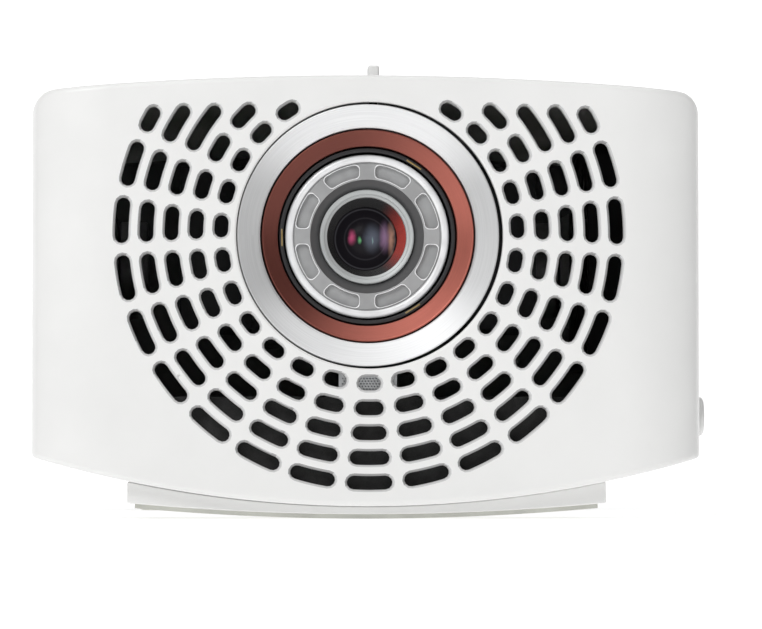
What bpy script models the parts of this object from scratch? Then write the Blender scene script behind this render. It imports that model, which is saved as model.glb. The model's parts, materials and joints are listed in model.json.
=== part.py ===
"""Home projector: a compact LED projector with a ring-slot front, a focus lever and a tilting foot.

Frame: +X to the right, front towards -Y, +Z up. The origin is the bottom centre, on the table.
Sizes are in millimetres and become metres where a mesh is made.
"""

import math

import bmesh
import bpy
from mathutils import Matrix, Vector

MM = 0.001
GAP = 0.3  # between pieces that touch

# Casing
BODY_WIDTH = 133.0
BODY_DEPTH = 220.0
BODY_TOP = 87.7
BELLY_Z = 2.5
WALL = 2.0
CROWN_RADIUS = 695.0
BELLY_RADIUS = 228.0
TOP_CORNER = 4.5
BOTTOM_CORNER = 0.9
SPLIT_Z = 30.0
FLAT_MARGIN = 16.0  # width of the rounded strip at each side of the front
SIDE_ROUNDING = 9.0  # how far that strip falls back
EDGE_FILLET = 1.2
FRONT_COVER_DEPTH = 16.0
REAR_PANEL_DEPTH = 12.0

# Lens front: each ring takes its radius from the one outside it
LENS_Z = 56.0
LENS_HOLE = 26.3
BEZEL_CLEARANCE, BEZEL_BORE = 0.4, 21.3
ACCENT_BORE = 17.8
SHROUD_WALL = 0.8
RETAINER_CLEARANCE, RETAINER_WIDTH = 0.4, 5.0
RETAINER_BEAD = 1.5
WINDOWS = 8
WINDOW_RIB = 3.2
WINDOW_DEPTH = 0.8
GROOVE_WIDTH, RIM_WIDTH = 1.9, 1.5
CELL_STEP, CELL_WALL = 0.3, 2.2
CELL_CLEAR = 8.0  # from the cell to the light engine
LENS_CLEARANCE = 0.5
LENS_LEDGE = 1.2

# Lens front, as depths behind the front face
BEZEL_SET_BACK = 0.6
ACCENT_SET_BACK = 1.9
RETAINER_SET_BACK = 5.5
RIM_SET_BACK = 7.0

# Grille
SLOT_WIDTH = 2.7
SLOT_GAP = 2.35
SLOT_FIRST_RADIUS = 29.3
SLOT_PITCH = 4.9
SLOTS_PER_TURN = 27
SLOT_LAST = (11, 10, 8, 9, 8)  # the last slot each way from straight down, ring by ring
SLOT_EXTRAS = {2: (122.9, 10.2), 4: (117.8, 5.3)}  # ring: (degrees from straight down, length)

# Focus
FOCUS_RANGE = 14.0
LEVER_WIDTH = 2.3
LEVER_LENGTH = 5.0  # along the lens axis
LEVER_STAND = 3.8  # above the crown
LEVER_ASIDE = 1.9  # to the right of the lens axis at rest
LEVER_CLEARANCE = 0.5
FOCUS_RING_BACK = 24.0  # behind the front face
FOCUS_RING_LENGTH = 8.0
FOCUS_RING_OUTER = 21.0
MOUNT_OUTER = 13.0

# Foot and button
FOOT_HALF_WIDTH = 47.5
FOOT_BACK, FOOT_LENGTH = 6.0, 40.0
FOOT_UNDERSIDE, PAD_UNDERSIDE = 0.9, 0.0
FOOT_ARC = 510.0
HINGE_BEHIND, HINGE_Z = 4.0, 9.0
PIN_RADIUS = 1.2
EAR_X, EAR_WIDTH, EAR_RADIUS = 23.0, 6.0, 3.0
BOSS_WIDTH = 4.0  # each boss that holds an end of the hinge pin
BUTTON_BACK = 24.0
BUTTON_LIFT = 3.45  # above the edge where the side meets the belly
BUTTON_HEIGHT, BUTTON_LENGTH = 7.9, 12.0
BUTTON_STAND = 2.1
REAR_FOOT_X, REAR_FOOT_AHEAD, REAR_FOOT_RADIUS = 40.0, 22.0, 7.0

# Cooling and sound
FAN_SIZE, FAN_THICKNESS, FAN_AHEAD, FAN_HEADROOM = 50.0, 10.0, 90.0, 0.9
FAN_WALL_GAP = 2.0
FAN_RIM, FAN_HUB, FAN_BLADES = 2.0, 9.0, 7  # the rim is the frame left beside the bore
SPEAKER_AHEAD, SPEAKER_RADIUS = 34.0, 17.0
VENT_WIDTH, VENT_PITCH, VENT_HEIGHT = 2.0, 4.4, 38.0

# Inside
BOARD_Z, BOARD_THICKNESS = 14.0, 1.6
BOARD_HALF_WIDTH, BOARD_BACK = 50.0, 66.0
ENGINE_HALF_WIDTH, ENGINE_BACK, ENGINE_LENGTH = 20.0, 50.0, 46.0
ENGINE_LOW_Z, ENGINE_HIGH_Z, ENGINE_WALL = 36.0, 74.0, 2.0

HALF = BODY_WIDTH / 2
FRONT_Y = -BODY_DEPTH / 2
REAR_Y = BODY_DEPTH / 2
COVER_BACK_Y = FRONT_Y + FRONT_COVER_DEPTH
PANEL_FRONT_Y = REAR_Y - REAR_PANEL_DEPTH
FLAT_HALF = HALF - FLAT_MARGIN
LENS_AXIS = Vector((0, 0, LENS_Z))
FAN_BORE = FAN_SIZE / 2 - FAN_RIM
BEZEL_OUTER = LENS_HOLE - BEZEL_CLEARANCE
RETAINER_OUTER = ACCENT_BORE - GAP - SHROUD_WALL - RETAINER_CLEARANCE
RETAINER_BORE = RETAINER_OUTER - RETAINER_WIDTH
RIM_OUTER = RETAINER_BORE - GROOVE_WIDTH
RIM_BORE = RIM_OUTER - RIM_WIDTH
CELL_OUTER = RIM_OUTER - CELL_STEP
CELL_BORE = CELL_OUTER - CELL_WALL
LENS_RADIUS = CELL_BORE - LENS_CLEARANCE
FOCUS_RING_Y = FRONT_Y + FOCUS_RING_BACK
BUTTON_Y = FRONT_Y + BUTTON_BACK
FOOT_FRONT_Y = FRONT_Y + FOOT_BACK
FOOT_REAR_Y = FOOT_FRONT_Y + FOOT_LENGTH
HINGE_Y = FOOT_REAR_Y + HINGE_BEHIND
REAR_FOOT_Y = REAR_Y - REAR_FOOT_AHEAD
FAN_Y = REAR_Y - FAN_AHEAD
SPEAKER_Y = REAR_Y - SPEAKER_AHEAD
BOARD_FRONT_Y = FRONT_Y + BOARD_BACK
ENGINE_FRONT_Y = FRONT_Y + ENGINE_BACK
ENGINE_REAR_Y = ENGINE_FRONT_Y + ENGINE_LENGTH
CELL_END_Y = ENGINE_FRONT_Y - CELL_CLEAR


def material(name, colour, roughness, metallic=0.0):
    """A Principled material in one colour."""
    made = bpy.data.materials.new(name)
    made.use_nodes = True
    shader = made.node_tree.nodes["Principled BSDF"]
    shader.inputs["Base Color"].default_value = (*colour, 1)
    shader.inputs["Roughness"].default_value = roughness
    shader.inputs["Metallic"].default_value = metallic
    return made


def solid(name, mesh, finish, origin=(0, 0, 0)):
    """Makes an object of a bmesh in millimetres, with its origin at the given place."""
    origin = Vector(origin)
    bmesh.ops.recalc_face_normals(mesh, faces=mesh.faces)
    bmesh.ops.transform(mesh, matrix=Matrix.Scale(MM, 4) @ Matrix.Translation(-origin), verts=mesh.verts)
    data = bpy.data.meshes.new(name)
    mesh.to_mesh(data)
    mesh.free()
    data.shade_smooth()
    data.set_sharp_from_angle(angle=math.radians(35))
    if finish:
        data.materials.append(finish)
    made = bpy.data.objects.new(name, data)
    made.location = origin * MM
    bpy.context.scene.collection.objects.link(made)
    return made


def cutter(name, mesh):
    """An object that only cuts, hidden from renders."""
    made = solid(name, mesh, None)
    made.hide_render = True
    made.display_type = "WIRE"
    return made


def boolean(target, other, operation="DIFFERENCE"):
    """Adds a Boolean of the other object to the target."""
    modifier = target.modifiers.new(operation.title(), "BOOLEAN")
    modifier.object = other
    modifier.operation = operation
    modifier.solver = "EXACT"


def cut(target, name, mesh):
    """Cuts a bmesh out of the target."""
    boolean(target, cutter(f"{target.name}_{name}", mesh))


def add_box(mesh, low, high):
    """Adds a box between two corners."""
    low, high = Vector(low), Vector(high)
    scale = Matrix.Diagonal((*(high - low), 1))
    bmesh.ops.create_cube(mesh, size=1, matrix=Matrix.Translation((low + high) / 2) @ scale)


def box(low, high):
    """A new bmesh holding one box."""
    mesh = bmesh.new()
    add_box(mesh, low, high)
    return mesh


def prism(outline, start, end, axis="Y"):
    """A new bmesh: a closed outline, swept along one axis. The outline is (x, z), (y, z) or (x, y)."""
    places = {
        "X": lambda a, b, c: (c, a, b),
        "Y": lambda a, b, c: (a, c, b),
        "Z": lambda a, b, c: (a, b, c),
    }
    mesh = bmesh.new()
    add_prism(mesh, outline, start, end, places[axis])
    return mesh


def add_prism(mesh, outline, start, end, place):
    """Adds a swept outline, where place turns (a, b, distance) into a point."""
    face = mesh.faces.new([mesh.verts.new(place(a, b, start)) for a, b in outline])
    made = bmesh.ops.extrude_face_region(mesh, geom=[face])
    moved = [item for item in made["geom"] if isinstance(item, bmesh.types.BMVert)]
    step = Vector(place(0, 0, end)) - Vector(place(0, 0, start))
    bmesh.ops.translate(mesh, verts=moved, vec=step)


def turned(profile, centre, axis="Y", segments=36):
    """A new bmesh: a closed (radius, distance) profile, spun about an axis through the centre."""
    along = Vector({"X": (1, 0, 0), "Y": (0, 1, 0), "Z": (0, 0, 1)}[axis])
    across = Vector((0, 0, 1)) if axis != "Z" else Vector((1, 0, 0))
    mesh = bmesh.new()
    verts = [mesh.verts.new(across * radius + along * distance) for radius, distance in profile]
    edges = [mesh.edges.new((a, b)) for a, b in zip(verts, verts[1:] + verts[:1])]
    bmesh.ops.spin(
        mesh, geom=verts + edges, cent=(0, 0, 0), axis=along, angle=math.tau, steps=segments, use_merge=True
    )
    bmesh.ops.remove_doubles(mesh, verts=mesh.verts, dist=1e-4)
    flat = [face for face in mesh.faces if face.calc_area() < 1e-7]
    bmesh.ops.delete(mesh, geom=flat, context="FACES")
    loose = [edge for edge in mesh.edges if not edge.link_faces]
    bmesh.ops.delete(mesh, geom=loose, context="EDGES")
    bmesh.ops.translate(mesh, verts=mesh.verts, vec=centre)
    return mesh


def tube_profile(outer, bore, start, end):
    """The profile of a plain tube."""
    return [(outer, start), (outer, end), (bore, end), (bore, start)]


def disc_profile(radius, start, end):
    """The profile of a plain disc."""
    return [(0, start), (radius, start), (radius, end), (0, end)]


# The body's outline


def corner_drop(x, half, radius):
    """How far a rounded corner has fallen at x."""
    past = min(max(abs(x) - (half - radius), 0), radius)
    return radius - math.sqrt(radius * radius - past * past)


def top_z(x, inset=0.0):
    """Height of the crowned top, set in by the inset."""
    radius = max(TOP_CORNER - inset, 0.3)
    return BODY_TOP - inset - x * x / (2 * CROWN_RADIUS) - corner_drop(x, HALF - inset, radius)


def belly_z(x, inset=0.0):
    """Height of the rounded underside, set in by the inset."""
    radius = max(BOTTOM_CORNER - inset, 0.3)
    return BELLY_Z + inset + x * x / (2 * BELLY_RADIUS) + corner_drop(x, HALF - inset, radius)


def front_fall(x):
    """How far the front has turned back at x: flat over the grille, then a quarter of an ellipse."""
    share = min(max(abs(x) - FLAT_HALF, 0) / FLAT_MARGIN, 1)
    return SIDE_ROUNDING * (1 - math.sqrt(1 - share * share))


def section_x(inset=0.0):
    """The x stations across the body, left to right, closer together at the corners."""
    half = HALF - inset
    across = [FLAT_HALF * step / 5 for step in range(6)]
    strip = half - TOP_CORNER - FLAT_HALF
    across += [FLAT_HALF + strip * step / 3 for step in (1, 2, 3)]
    across += [half - TOP_CORNER * (1 - math.sin(math.radians(angle))) for angle in (30, 55, 75, 90)]
    return [-x for x in reversed(across[1:])] + across


def end_cover(name, end_y, inward, depth, finish):
    """A dished cover that closes one end of the body. Inward is +1 at the front and -1 at the rear."""
    mesh = bmesh.new()

    def ring(inset, distance):
        """Vertices of the outline at this inset: the top from left to right, then the underside."""
        stations = section_x(inset)
        heights = (top_z, belly_z)
        return [
            [mesh.verts.new((x, end_y + inward * distance(x), height(x, inset))) for x in stations]
            for height in heights
        ]

    def around(pair):
        """The ring's vertices in order round the outline."""
        return pair[0] + pair[1][::-1]

    def bridge(first, second):
        """Quads between two rings."""
        a, b = around(first), around(second)
        for index in range(len(a)):
            following = (index + 1) % len(a)
            mesh.faces.new((a[index], a[following], b[following], b[index]))

    def close(pair):
        """Strips up the rounded sides, and one flat face over the middle."""
        above, below = pair
        stations = section_x()
        middle = [i for i, x in enumerate(stations) if abs(x) <= FLAT_HALF + 1e-6]
        mesh.faces.new([above[i] for i in middle] + [below[i] for i in reversed(middle)])
        for index in range(len(above) - 1):
            if index < middle[0] or index >= middle[-1]:
                mesh.faces.new((above[index], above[index + 1], below[index + 1], below[index]))

    rings = [ring(0, lambda x: depth)]
    for step in range(4):
        angle = math.radians(30 * step)
        inset = EDGE_FILLET * (1 - math.cos(angle))
        back = EDGE_FILLET * (1 - math.sin(angle))
        rings.append(ring(inset, lambda x, back=back: front_fall(x) + back))
    for first, second in zip(rings, rings[1:]):
        bridge(first, second)
    close(rings[-1])
    inner_back = ring(WALL, lambda x: depth)
    inner_front = ring(WALL, lambda x: front_fall(x) + WALL)
    bridge(rings[0], inner_back)
    bridge(inner_back, inner_front)
    close(inner_front)
    return solid(name, mesh, finish)


def shell_outline(upper):
    """The outline of the casing's upper or lower half, as one closed (x, z) loop."""
    height = top_z if upper else belly_z
    joint = SPLIT_Z + GAP / 2 if upper else SPLIT_Z - GAP / 2
    outer = [(x, height(x)) for x in section_x()]
    inner = [(x, height(x, WALL)) for x in reversed(section_x(WALL))]
    return [(-HALF, joint)] + outer + [(HALF, joint), (HALF - WALL, joint)] + inner + [(-HALF + WALL, joint)]


# Grille


def slot_outline(radius, centre_angle, length):
    """An arc-shaped slot with round ends, as (x, z), at an angle from straight down."""
    reach = (length - SLOT_WIDTH) / 2 / radius
    half = SLOT_WIDTH / 2

    def point(angle, offset, along=0.0):
        turn = centre_angle + angle
        x = (radius + offset) * math.sin(turn) + along * math.cos(turn)
        z = LENS_Z - (radius + offset) * math.cos(turn) + along * math.sin(turn)
        return x, z

    outline = [point(angle, half) for angle in (-reach, 0, reach)]
    outline += [point(reach, half * math.cos(a), half * math.sin(a)) for a in (math.pi / 3, math.tau / 3)]
    outline += [point(angle, -half) for angle in (reach, 0, -reach)]
    outline += [point(-reach, -half * math.cos(a), -half * math.sin(a)) for a in (math.pi / 3, math.tau / 3)]
    return outline


def grille_slots():
    """Outlines of every slot in the grille."""
    pitch = math.tau / SLOTS_PER_TURN
    for ring, last in enumerate(SLOT_LAST):
        radius = SLOT_FIRST_RADIUS + ring * SLOT_PITCH
        for place in range(-last, last + 1):
            yield slot_outline(radius, place * pitch, radius * pitch - SLOT_GAP)
        if ring in SLOT_EXTRAS:
            angle, length = SLOT_EXTRAS[ring]
            for side in (-1, 1):
                yield slot_outline(radius, side * math.radians(angle), length)


def along_y(a, b, distance):
    """Places an (x, z) outline at a distance along Y."""
    return a, distance, b


def casing(white, dark):
    """The four covers and the rear screws."""
    front = end_cover("front_cover", FRONT_Y, 1, FRONT_COVER_DEPTH, white)
    slots = bmesh.new()
    for outline in grille_slots():
        add_prism(slots, outline, FRONT_Y - 1, FRONT_Y + WALL + 1, along_y)
    cut(front, "slots", slots)
    hole = turned(disc_profile(LENS_HOLE, FRONT_Y - 1, FRONT_Y + WALL + 1), LENS_AXIS, segments=48)
    cut(front, "lens_hole", hole)

    top = solid("top_cover", prism(shell_outline(True), COVER_BACK_Y + GAP, PANEL_FRONT_Y - GAP), white)
    lever_top = BODY_TOP + LEVER_STAND - LENS_Z
    slot_half = lever_top * math.sin(math.radians(FOCUS_RANGE)) + LEVER_WIDTH / 2 + 2 * LEVER_CLEARANCE
    slot_length = LEVER_LENGTH / 2 + LEVER_CLEARANCE
    low = (LEVER_ASIDE - slot_half, FOCUS_RING_Y - slot_length, BODY_TOP - 2 * WALL)
    cut(top, "lever_slot", box(low, (LEVER_ASIDE + slot_half, FOCUS_RING_Y + slot_length, BODY_TOP + 1)))
    vents = bmesh.new()
    for centre, covered in ((FAN_Y, FAN_SIZE), (SPEAKER_Y, 2 * SPEAKER_RADIUS)):
        count = int(covered / VENT_PITCH)
        for place in range(count):
            y = centre + (place - (count - 1) / 2) * VENT_PITCH
            for side in (-1, 1):
                ends = sorted((side * (HALF - WALL - 1), side * (HALF + 1)))
                low = (ends[0], y - VENT_WIDTH / 2, FAN_Z - VENT_HEIGHT / 2)
                add_box(vents, low, (ends[1], y + VENT_WIDTH / 2, FAN_Z + VENT_HEIGHT / 2))
    cut(top, "vents", vents)
    cut(top, "power_hole", turned(disc_profile(POWER_RADIUS + GAP, 80, 95), (0, POWER_Y, 0), "Z", 24))

    bottom = solid("bottom_case", prism(shell_outline(False), COVER_BACK_Y + GAP, PANEL_FRONT_Y - GAP), white)
    ears = bmesh.new()
    for side in (-1, 1):
        middle, reach = side * EAR_X, EAR_WIDTH / 2 + LEVER_CLEARANCE
        low = (middle - reach, FOOT_REAR_Y - 6, 0)
        add_box(ears, low, (middle + reach, HINGE_Y + EAR_RADIUS + 1, BELLY_Z + WALL + 6))
    cut(bottom, "ear_slots", ears)
    cut(bottom, "button_hole", button_prism(HALF - WALL - 1, HALF + 1, LEVER_CLEARANCE))
    for side in (-1, 1):
        near = EAR_X + EAR_WIDTH / 2 + 2 * LEVER_CLEARANCE
        xs = sorted((side * near, side * (near + BOSS_WIDTH)))
        floor = belly_z(near) + WALL / 2
        low, high = (xs[0], HINGE_Y - 3, floor), (xs[1], HINGE_Y + 3, HINGE_Z + 3.5)
        boolean(bottom, cutter(f"bottom_case_boss_{side + 2}", box(low, high)), "UNION")
    reach = EAR_X + EAR_WIDTH / 2 + BOSS_WIDTH + 4
    bore = turned(disc_profile(PIN_RADIUS + GAP, -reach, reach), (0, HINGE_Y, HINGE_Z), "X", 16)
    cut(bottom, "pin_bore", bore)

    rear = end_cover("rear_panel", REAR_Y, -1, REAR_PANEL_DEPTH, dark)
    ports = bmesh.new()
    for _, x, width, height in PORTS:
        add_box(
            ports,
            (x - width / 2 - GAP, REAR_Y - WALL - 1, PORT_Z - GAP),
            (x + width / 2 + GAP, REAR_Y + 1, PORT_Z + height + GAP),
        )
    add_box(
        ports,
        (-IR_HALF_WIDTH - GAP, REAR_Y - WALL - 1, IR_Z - IR_HALF_HEIGHT - GAP),
        (IR_HALF_WIDTH + GAP, REAR_Y + 1, IR_Z + IR_HALF_HEIGHT + GAP),
    )
    cut(rear, "ports", ports)
    for index, (x, z) in enumerate(SCREW_PLACES):
        hole = [(0, REAR_Y - WALL - 1), (1.6, REAR_Y - WALL - 1), (1.6, REAR_Y - 1.2)]
        hole += [(2.8, REAR_Y - 1.2), (2.8, REAR_Y + 1), (0, REAR_Y + 1)]
        cut(rear, f"screw_hole_{index + 1}", turned(hole, (x, 0, z), segments=16))
        shank = [(0, REAR_Y - 9), (1.3, REAR_Y - 9), (1.3, REAR_Y - 1.2 + GAP)]
        shank += [(2.4, REAR_Y - 1.2 + GAP), (2.4, REAR_Y - GAP), (0, REAR_Y - GAP)]
        solid(f"rear_screw_{index + 1}", turned(shank, (x, 0, z), segments=16), STEEL)


def lens_front():
    """The fixed rings that show round the lens."""
    face = FRONT_Y + BEZEL_SET_BACK
    bezel = [(BEZEL_OUTER, face), (BEZEL_OUTER, face + 6), (BEZEL_BORE, face + 6), (BEZEL_BORE, face + 1.2)]
    solid("bezel_ring", turned(bezel, LENS_AXIS, segments=48), SILVER)

    outer, face = BEZEL_BORE - GAP, FRONT_Y + ACCENT_SET_BACK
    accent = [(outer, face), (outer, face + 6), (ACCENT_BORE, face + 6), (ACCENT_BORE, face + 2.4)]
    solid("accent_ring", turned(accent, LENS_AXIS, segments=48), BRONZE)

    outer, start = ACCENT_BORE - GAP, FRONT_Y + RETAINER_SET_BACK - 0.7
    bore, end = outer - SHROUD_WALL, COVER_BACK_Y + 2
    shroud = [(outer, start), (outer, end - 1.5), (BEZEL_OUTER, end - 1.5), (BEZEL_OUTER, end), (bore, end)]
    solid("lens_shroud", turned(shroud + [(bore, start)], LENS_AXIS, segments=40), BLACK)

    face = FRONT_Y + RETAINER_SET_BACK
    shoulder = RETAINER_OUTER - RETAINER_BEAD
    ring = [(RETAINER_OUTER, face + 0.6), (RETAINER_OUTER, face + 3), (RETAINER_BORE, face + 3)]
    ring += [(RETAINER_BORE, face + 0.5), (shoulder, face + 0.5), (shoulder + 0.3, face), (RETAINER_OUTER - 0.4, face)]
    retainer = solid("retainer_ring", turned(ring, LENS_AXIS, segments=40), CLEAR)
    pockets = bmesh.new()
    inner, outer = RETAINER_BORE + 0.5, shoulder - 0.4
    for place in range(WINDOWS):
        middle = (place + 0.5) * math.tau / WINDOWS
        spans = [math.pi / WINDOWS - WINDOW_RIB / 2 / radius for radius in (inner, outer)]
        loop = [(inner, -spans[0]), (outer, -spans[1]), (outer, 0), (outer, spans[1])]
        loop += [(inner, spans[0]), (inner, 0)]
        outline = [(r * math.sin(middle + a), LENS_Z + r * math.cos(middle + a)) for r, a in loop]
        add_prism(pockets, outline, face - 1, face + 0.5 + WINDOW_DEPTH, along_y)
    cut(retainer, "windows", pockets)


def focus():
    """The moving lens cell and the focus ring with its lever."""
    rim_y = FRONT_Y + RIM_SET_BACK
    rim = [(RIM_OUTER, rim_y), (RIM_OUTER, rim_y + 3), (RIM_BORE, rim_y + 3), (RIM_BORE, rim_y + 0.8)]
    solid("lens_rim", turned(rim, LENS_AXIS, segments=36), SILVER, (0, rim_y, LENS_Z))

    cell_y = rim_y + 3 + GAP
    stop_y, cell_end = cell_y + 6, CELL_END_Y
    cell = [(CELL_OUTER, cell_y), (CELL_OUTER, cell_end), (CELL_BORE, cell_end), (CELL_BORE, stop_y + 8)]
    cell += [(LENS_RADIUS - LENS_LEDGE, stop_y + 8), (LENS_RADIUS - LENS_LEDGE, stop_y + 4), (CELL_BORE, stop_y + 4)]
    cell += [(CELL_BORE, cell_y)]
    solid("lens_cell", turned(cell, LENS_AXIS, segments=32), BLACK, (0, cell_y, LENS_Z))

    def lens(name, vertex_y, edge_y, back_y):
        """A glass with a domed front."""
        dome = [
            (LENS_RADIUS * math.sin(a), edge_y + (vertex_y - edge_y) * math.cos(a))
            for a in (math.radians(step * 22.5) for step in range(5))
        ]
        solid(name, turned(dome + [(LENS_RADIUS, back_y), (0, back_y)], LENS_AXIS, segments=24), GLASS,
              (0, edge_y, LENS_Z))

    lens("front_lens", stop_y - 1.5, stop_y + 1, stop_y + 3.5)
    lens("rear_lens", cell_end - 8, cell_end - 6, cell_end - 3)

    ring_start = FOCUS_RING_Y - FOCUS_RING_LENGTH / 2
    ring_end = FOCUS_RING_Y + FOCUS_RING_LENGTH / 2
    mount_end = ENGINE_FRONT_Y - GAP
    bore = CELL_OUTER + GAP
    mount = [(MOUNT_OUTER, ring_start - 4), (MOUNT_OUTER, mount_end - 3), (FOCUS_RING_OUTER - 2, mount_end - 3)]
    mount += [(FOCUS_RING_OUTER - 2, mount_end), (bore, mount_end), (bore, ring_start - 4)]
    solid("lens_mount", turned(mount, LENS_AXIS, segments=32), BLACK)

    ring = tube_profile(FOCUS_RING_OUTER, MOUNT_OUTER + GAP, ring_start, ring_end)
    pivot = (0, FOCUS_RING_Y, LENS_Z)
    turning = solid("focus_ring", turned(ring, LENS_AXIS, segments=32), BLACK, pivot)
    half, reach = LEVER_WIDTH / 2, LEVER_LENGTH / 2
    cap_low = BODY_TOP - 1.5 * WALL
    left, right = LEVER_ASIDE - half, LEVER_ASIDE + half
    stem = box(
        (left + 0.4, FOCUS_RING_Y - reach + 0.4, LENS_Z + FOCUS_RING_OUTER - 2),
        (right - 0.4, FOCUS_RING_Y + reach - 0.4, cap_low - GAP),
    )
    boolean(turning, cutter("focus_ring_stem", stem), "UNION")
    top = BODY_TOP + LEVER_STAND
    nub = [(left, cap_low), (right, cap_low), (right, top - 0.5)]
    nub += [(right - 0.5, top), (left + 0.5, top), (left, top - 0.5)]
    cap = prism(nub, FOCUS_RING_Y - reach, FOCUS_RING_Y + reach)
    solid("focus_lever_cap", cap, WHITE, pivot)


def button_prism(start, end, grow=0.0):
    """The release button's rounded outline, swept along X."""
    radius = BUTTON_HEIGHT / 2 + grow
    run = (BUTTON_LENGTH - BUTTON_HEIGHT) / 2
    outline = []
    for side in (1, -1):
        for step in range(7):
            angle = math.pi * (step / 6 - 0.5)
            y = BUTTON_Y + side * (run + radius * math.cos(angle))
            outline.append((y, BUTTON_Z + side * radius * math.sin(angle)))
    return prism(outline, start, end, "X")


def foot_strip(half_width, front, rear, above, below, stations=12):
    """A strip across X whose top and underside follow two height functions."""
    mesh = bmesh.new()
    across = [half_width * (2 * step / stations - 1) for step in range(stations + 1)]
    outline = [(x, above(x)) for x in across] + [(x, below(x)) for x in reversed(across)]
    add_prism(mesh, outline, front, rear, along_y)
    return mesh


def standing():
    """The tilting front foot, its pin and button, and the rear feet."""
    pivot = (0, HINGE_Y, HINGE_Z)
    arc = lambda x: x * x / (2 * FOOT_ARC)
    under = foot_strip(
        FOOT_HALF_WIDTH, FOOT_FRONT_Y, FOOT_REAR_Y, lambda x: belly_z(x) - GAP, lambda x: FOOT_UNDERSIDE + arc(x)
    )
    foot = solid("front_foot", under, WHITE, pivot)
    for side in (-1, 1):
        edges = [side * EAR_X - EAR_WIDTH / 2, side * EAR_X + EAR_WIDTH / 2]
        outline = [(FOOT_REAR_Y - 5, FOOT_UNDERSIDE + 1.2), (FOOT_REAR_Y, FOOT_UNDERSIDE + 1.2)]
        for step in range(7):
            angle = math.radians(-40 + 35 * step)
            outline.append((HINGE_Y + EAR_RADIUS * math.cos(angle), HINGE_Z + EAR_RADIUS * math.sin(angle)))
        ear = cutter(f"front_foot_ear_{side + 2}", prism(outline, *edges, "X"))
        boolean(foot, ear, "UNION")
    bore = turned(disc_profile(PIN_RADIUS + GAP, -2 * EAR_X, 2 * EAR_X), (0, HINGE_Y, HINGE_Z), "X", 16)
    cut(foot, "pin_bore", bore)
    pad_top = lambda x: FOOT_UNDERSIDE + arc(x) - GAP
    pad = foot_strip(
        FOOT_HALF_WIDTH - 1.5, FOOT_FRONT_Y + 2, FOOT_REAR_Y - 6, pad_top, lambda x: PAD_UNDERSIDE + arc(x)
    )
    solid("foot_pad", pad, RUBBER, pivot)
    reach = EAR_X + EAR_WIDTH / 2 + 2 * LEVER_CLEARANCE + BOSS_WIDTH
    pin = turned(disc_profile(PIN_RADIUS, -reach, reach), (0, HINGE_Y, HINGE_Z), "X", 16)
    solid("foot_hinge_pin", pin, STEEL)

    place = (HALF, BUTTON_Y, BUTTON_Z)
    solid("release_button", button_prism(HALF - WALL - 4, HALF + BUTTON_STAND), WHITE, place)
    bar = box((HALF - WALL - 14, BUTTON_Y - 3, BUTTON_Z - 2), (HALF - WALL - 4 - GAP, BUTTON_Y + 3, BUTTON_Z + 2))
    solid("latch_bar", bar, STEEL, place)

    for name, side in (("left", -1), ("right", 1)):
        mesh = turned(disc_profile(REAR_FOOT_RADIUS, 0, 1), (side * REAR_FOOT_X, REAR_FOOT_Y, 0), "Z", 20)
        for vert in mesh.verts:
            if vert.co.z > 0.5:
                vert.co.z = belly_z(vert.co.x) - GAP
        solid(f"rear_foot_{name}", mesh, RUBBER)


def engine():
    """The light engine, its boards, heat sinks and heat pipe."""
    half, front, rear = ENGINE_HALF_WIDTH, ENGINE_FRONT_Y, ENGINE_REAR_Y
    low, high, wall = ENGINE_LOW_Z, ENGINE_HIGH_Z, ENGINE_WALL
    housing = solid("light_engine", box((-half, front, low), (half, rear, high)), ALUMINIUM)
    inside = box((-half + wall, front + wall, low + wall), (half - wall, rear - wall, high + 1))
    cut(housing, "inside", inside)
    port = turned(disc_profile(CELL_BORE, front - 1, front + wall + 1), LENS_AXIS, segments=24)
    cut(housing, "lens_port", port)
    lid_low = high + GAP
    solid("engine_lid", box((-half, front, lid_low), (half, rear, lid_low + 1.5)), ALUMINIUM)
    board_low = lid_low + 1.5 + GAP
    solid("dmd_board", box((-half + 4, front + 6, board_low), (half - 4, rear - 6, board_low + 1.2)), CIRCUIT)

    middle_y = (front + rear) / 2
    for name, side in (("red", -1), ("green", 1)):
        xs = sorted((side * (half + GAP), side * (half + GAP + 1.6)))
        board = box((xs[0], middle_y - 9, LENS_Z - 9), (xs[1], middle_y + 9, LENS_Z + 9))
        solid(f"{name}_led_board", board, CIRCUIT)
        heat_sink(f"{name}_heat_sink", side, half + 2 * GAP + 1.6, front + 4, rear)
    blue = box((-9, rear + GAP, LENS_Z - 9), (9, rear + GAP + 1.6, LENS_Z + 9))
    solid("blue_led_board", blue, CIRCUIT)

    path = bpy.data.curves.new("heat_pipe", "CURVE")
    path.dimensions = "3D"
    path.bevel_depth = 2.5 * MM
    path.bevel_resolution = 1
    path.use_fill_caps = True
    start = rear + 2 * GAP + 1.6 + 2.5
    spline = path.splines.new("POLY")
    steps = 8
    points = [(-16 + 16 * s / 4, start, LENS_Z) for s in range(5)]
    bend = 14.0
    for step in range(1, steps + 1):
        angle = math.pi / 2 * step / steps
        points.append((bend * math.sin(angle), start + bend * (1 - math.cos(angle)), LENS_Z))
    points.append((bend, PANEL_FRONT_Y - 34, LENS_Z))
    spline.points.add(len(points) - 1)
    for item, point in zip(spline.points, points):
        item.co = (*(Vector(point) * MM), 1)
    path.materials.append(COPPER)
    pipe = bpy.data.objects.new("heat_pipe", path)
    bpy.context.scene.collection.objects.link(pipe)


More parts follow.
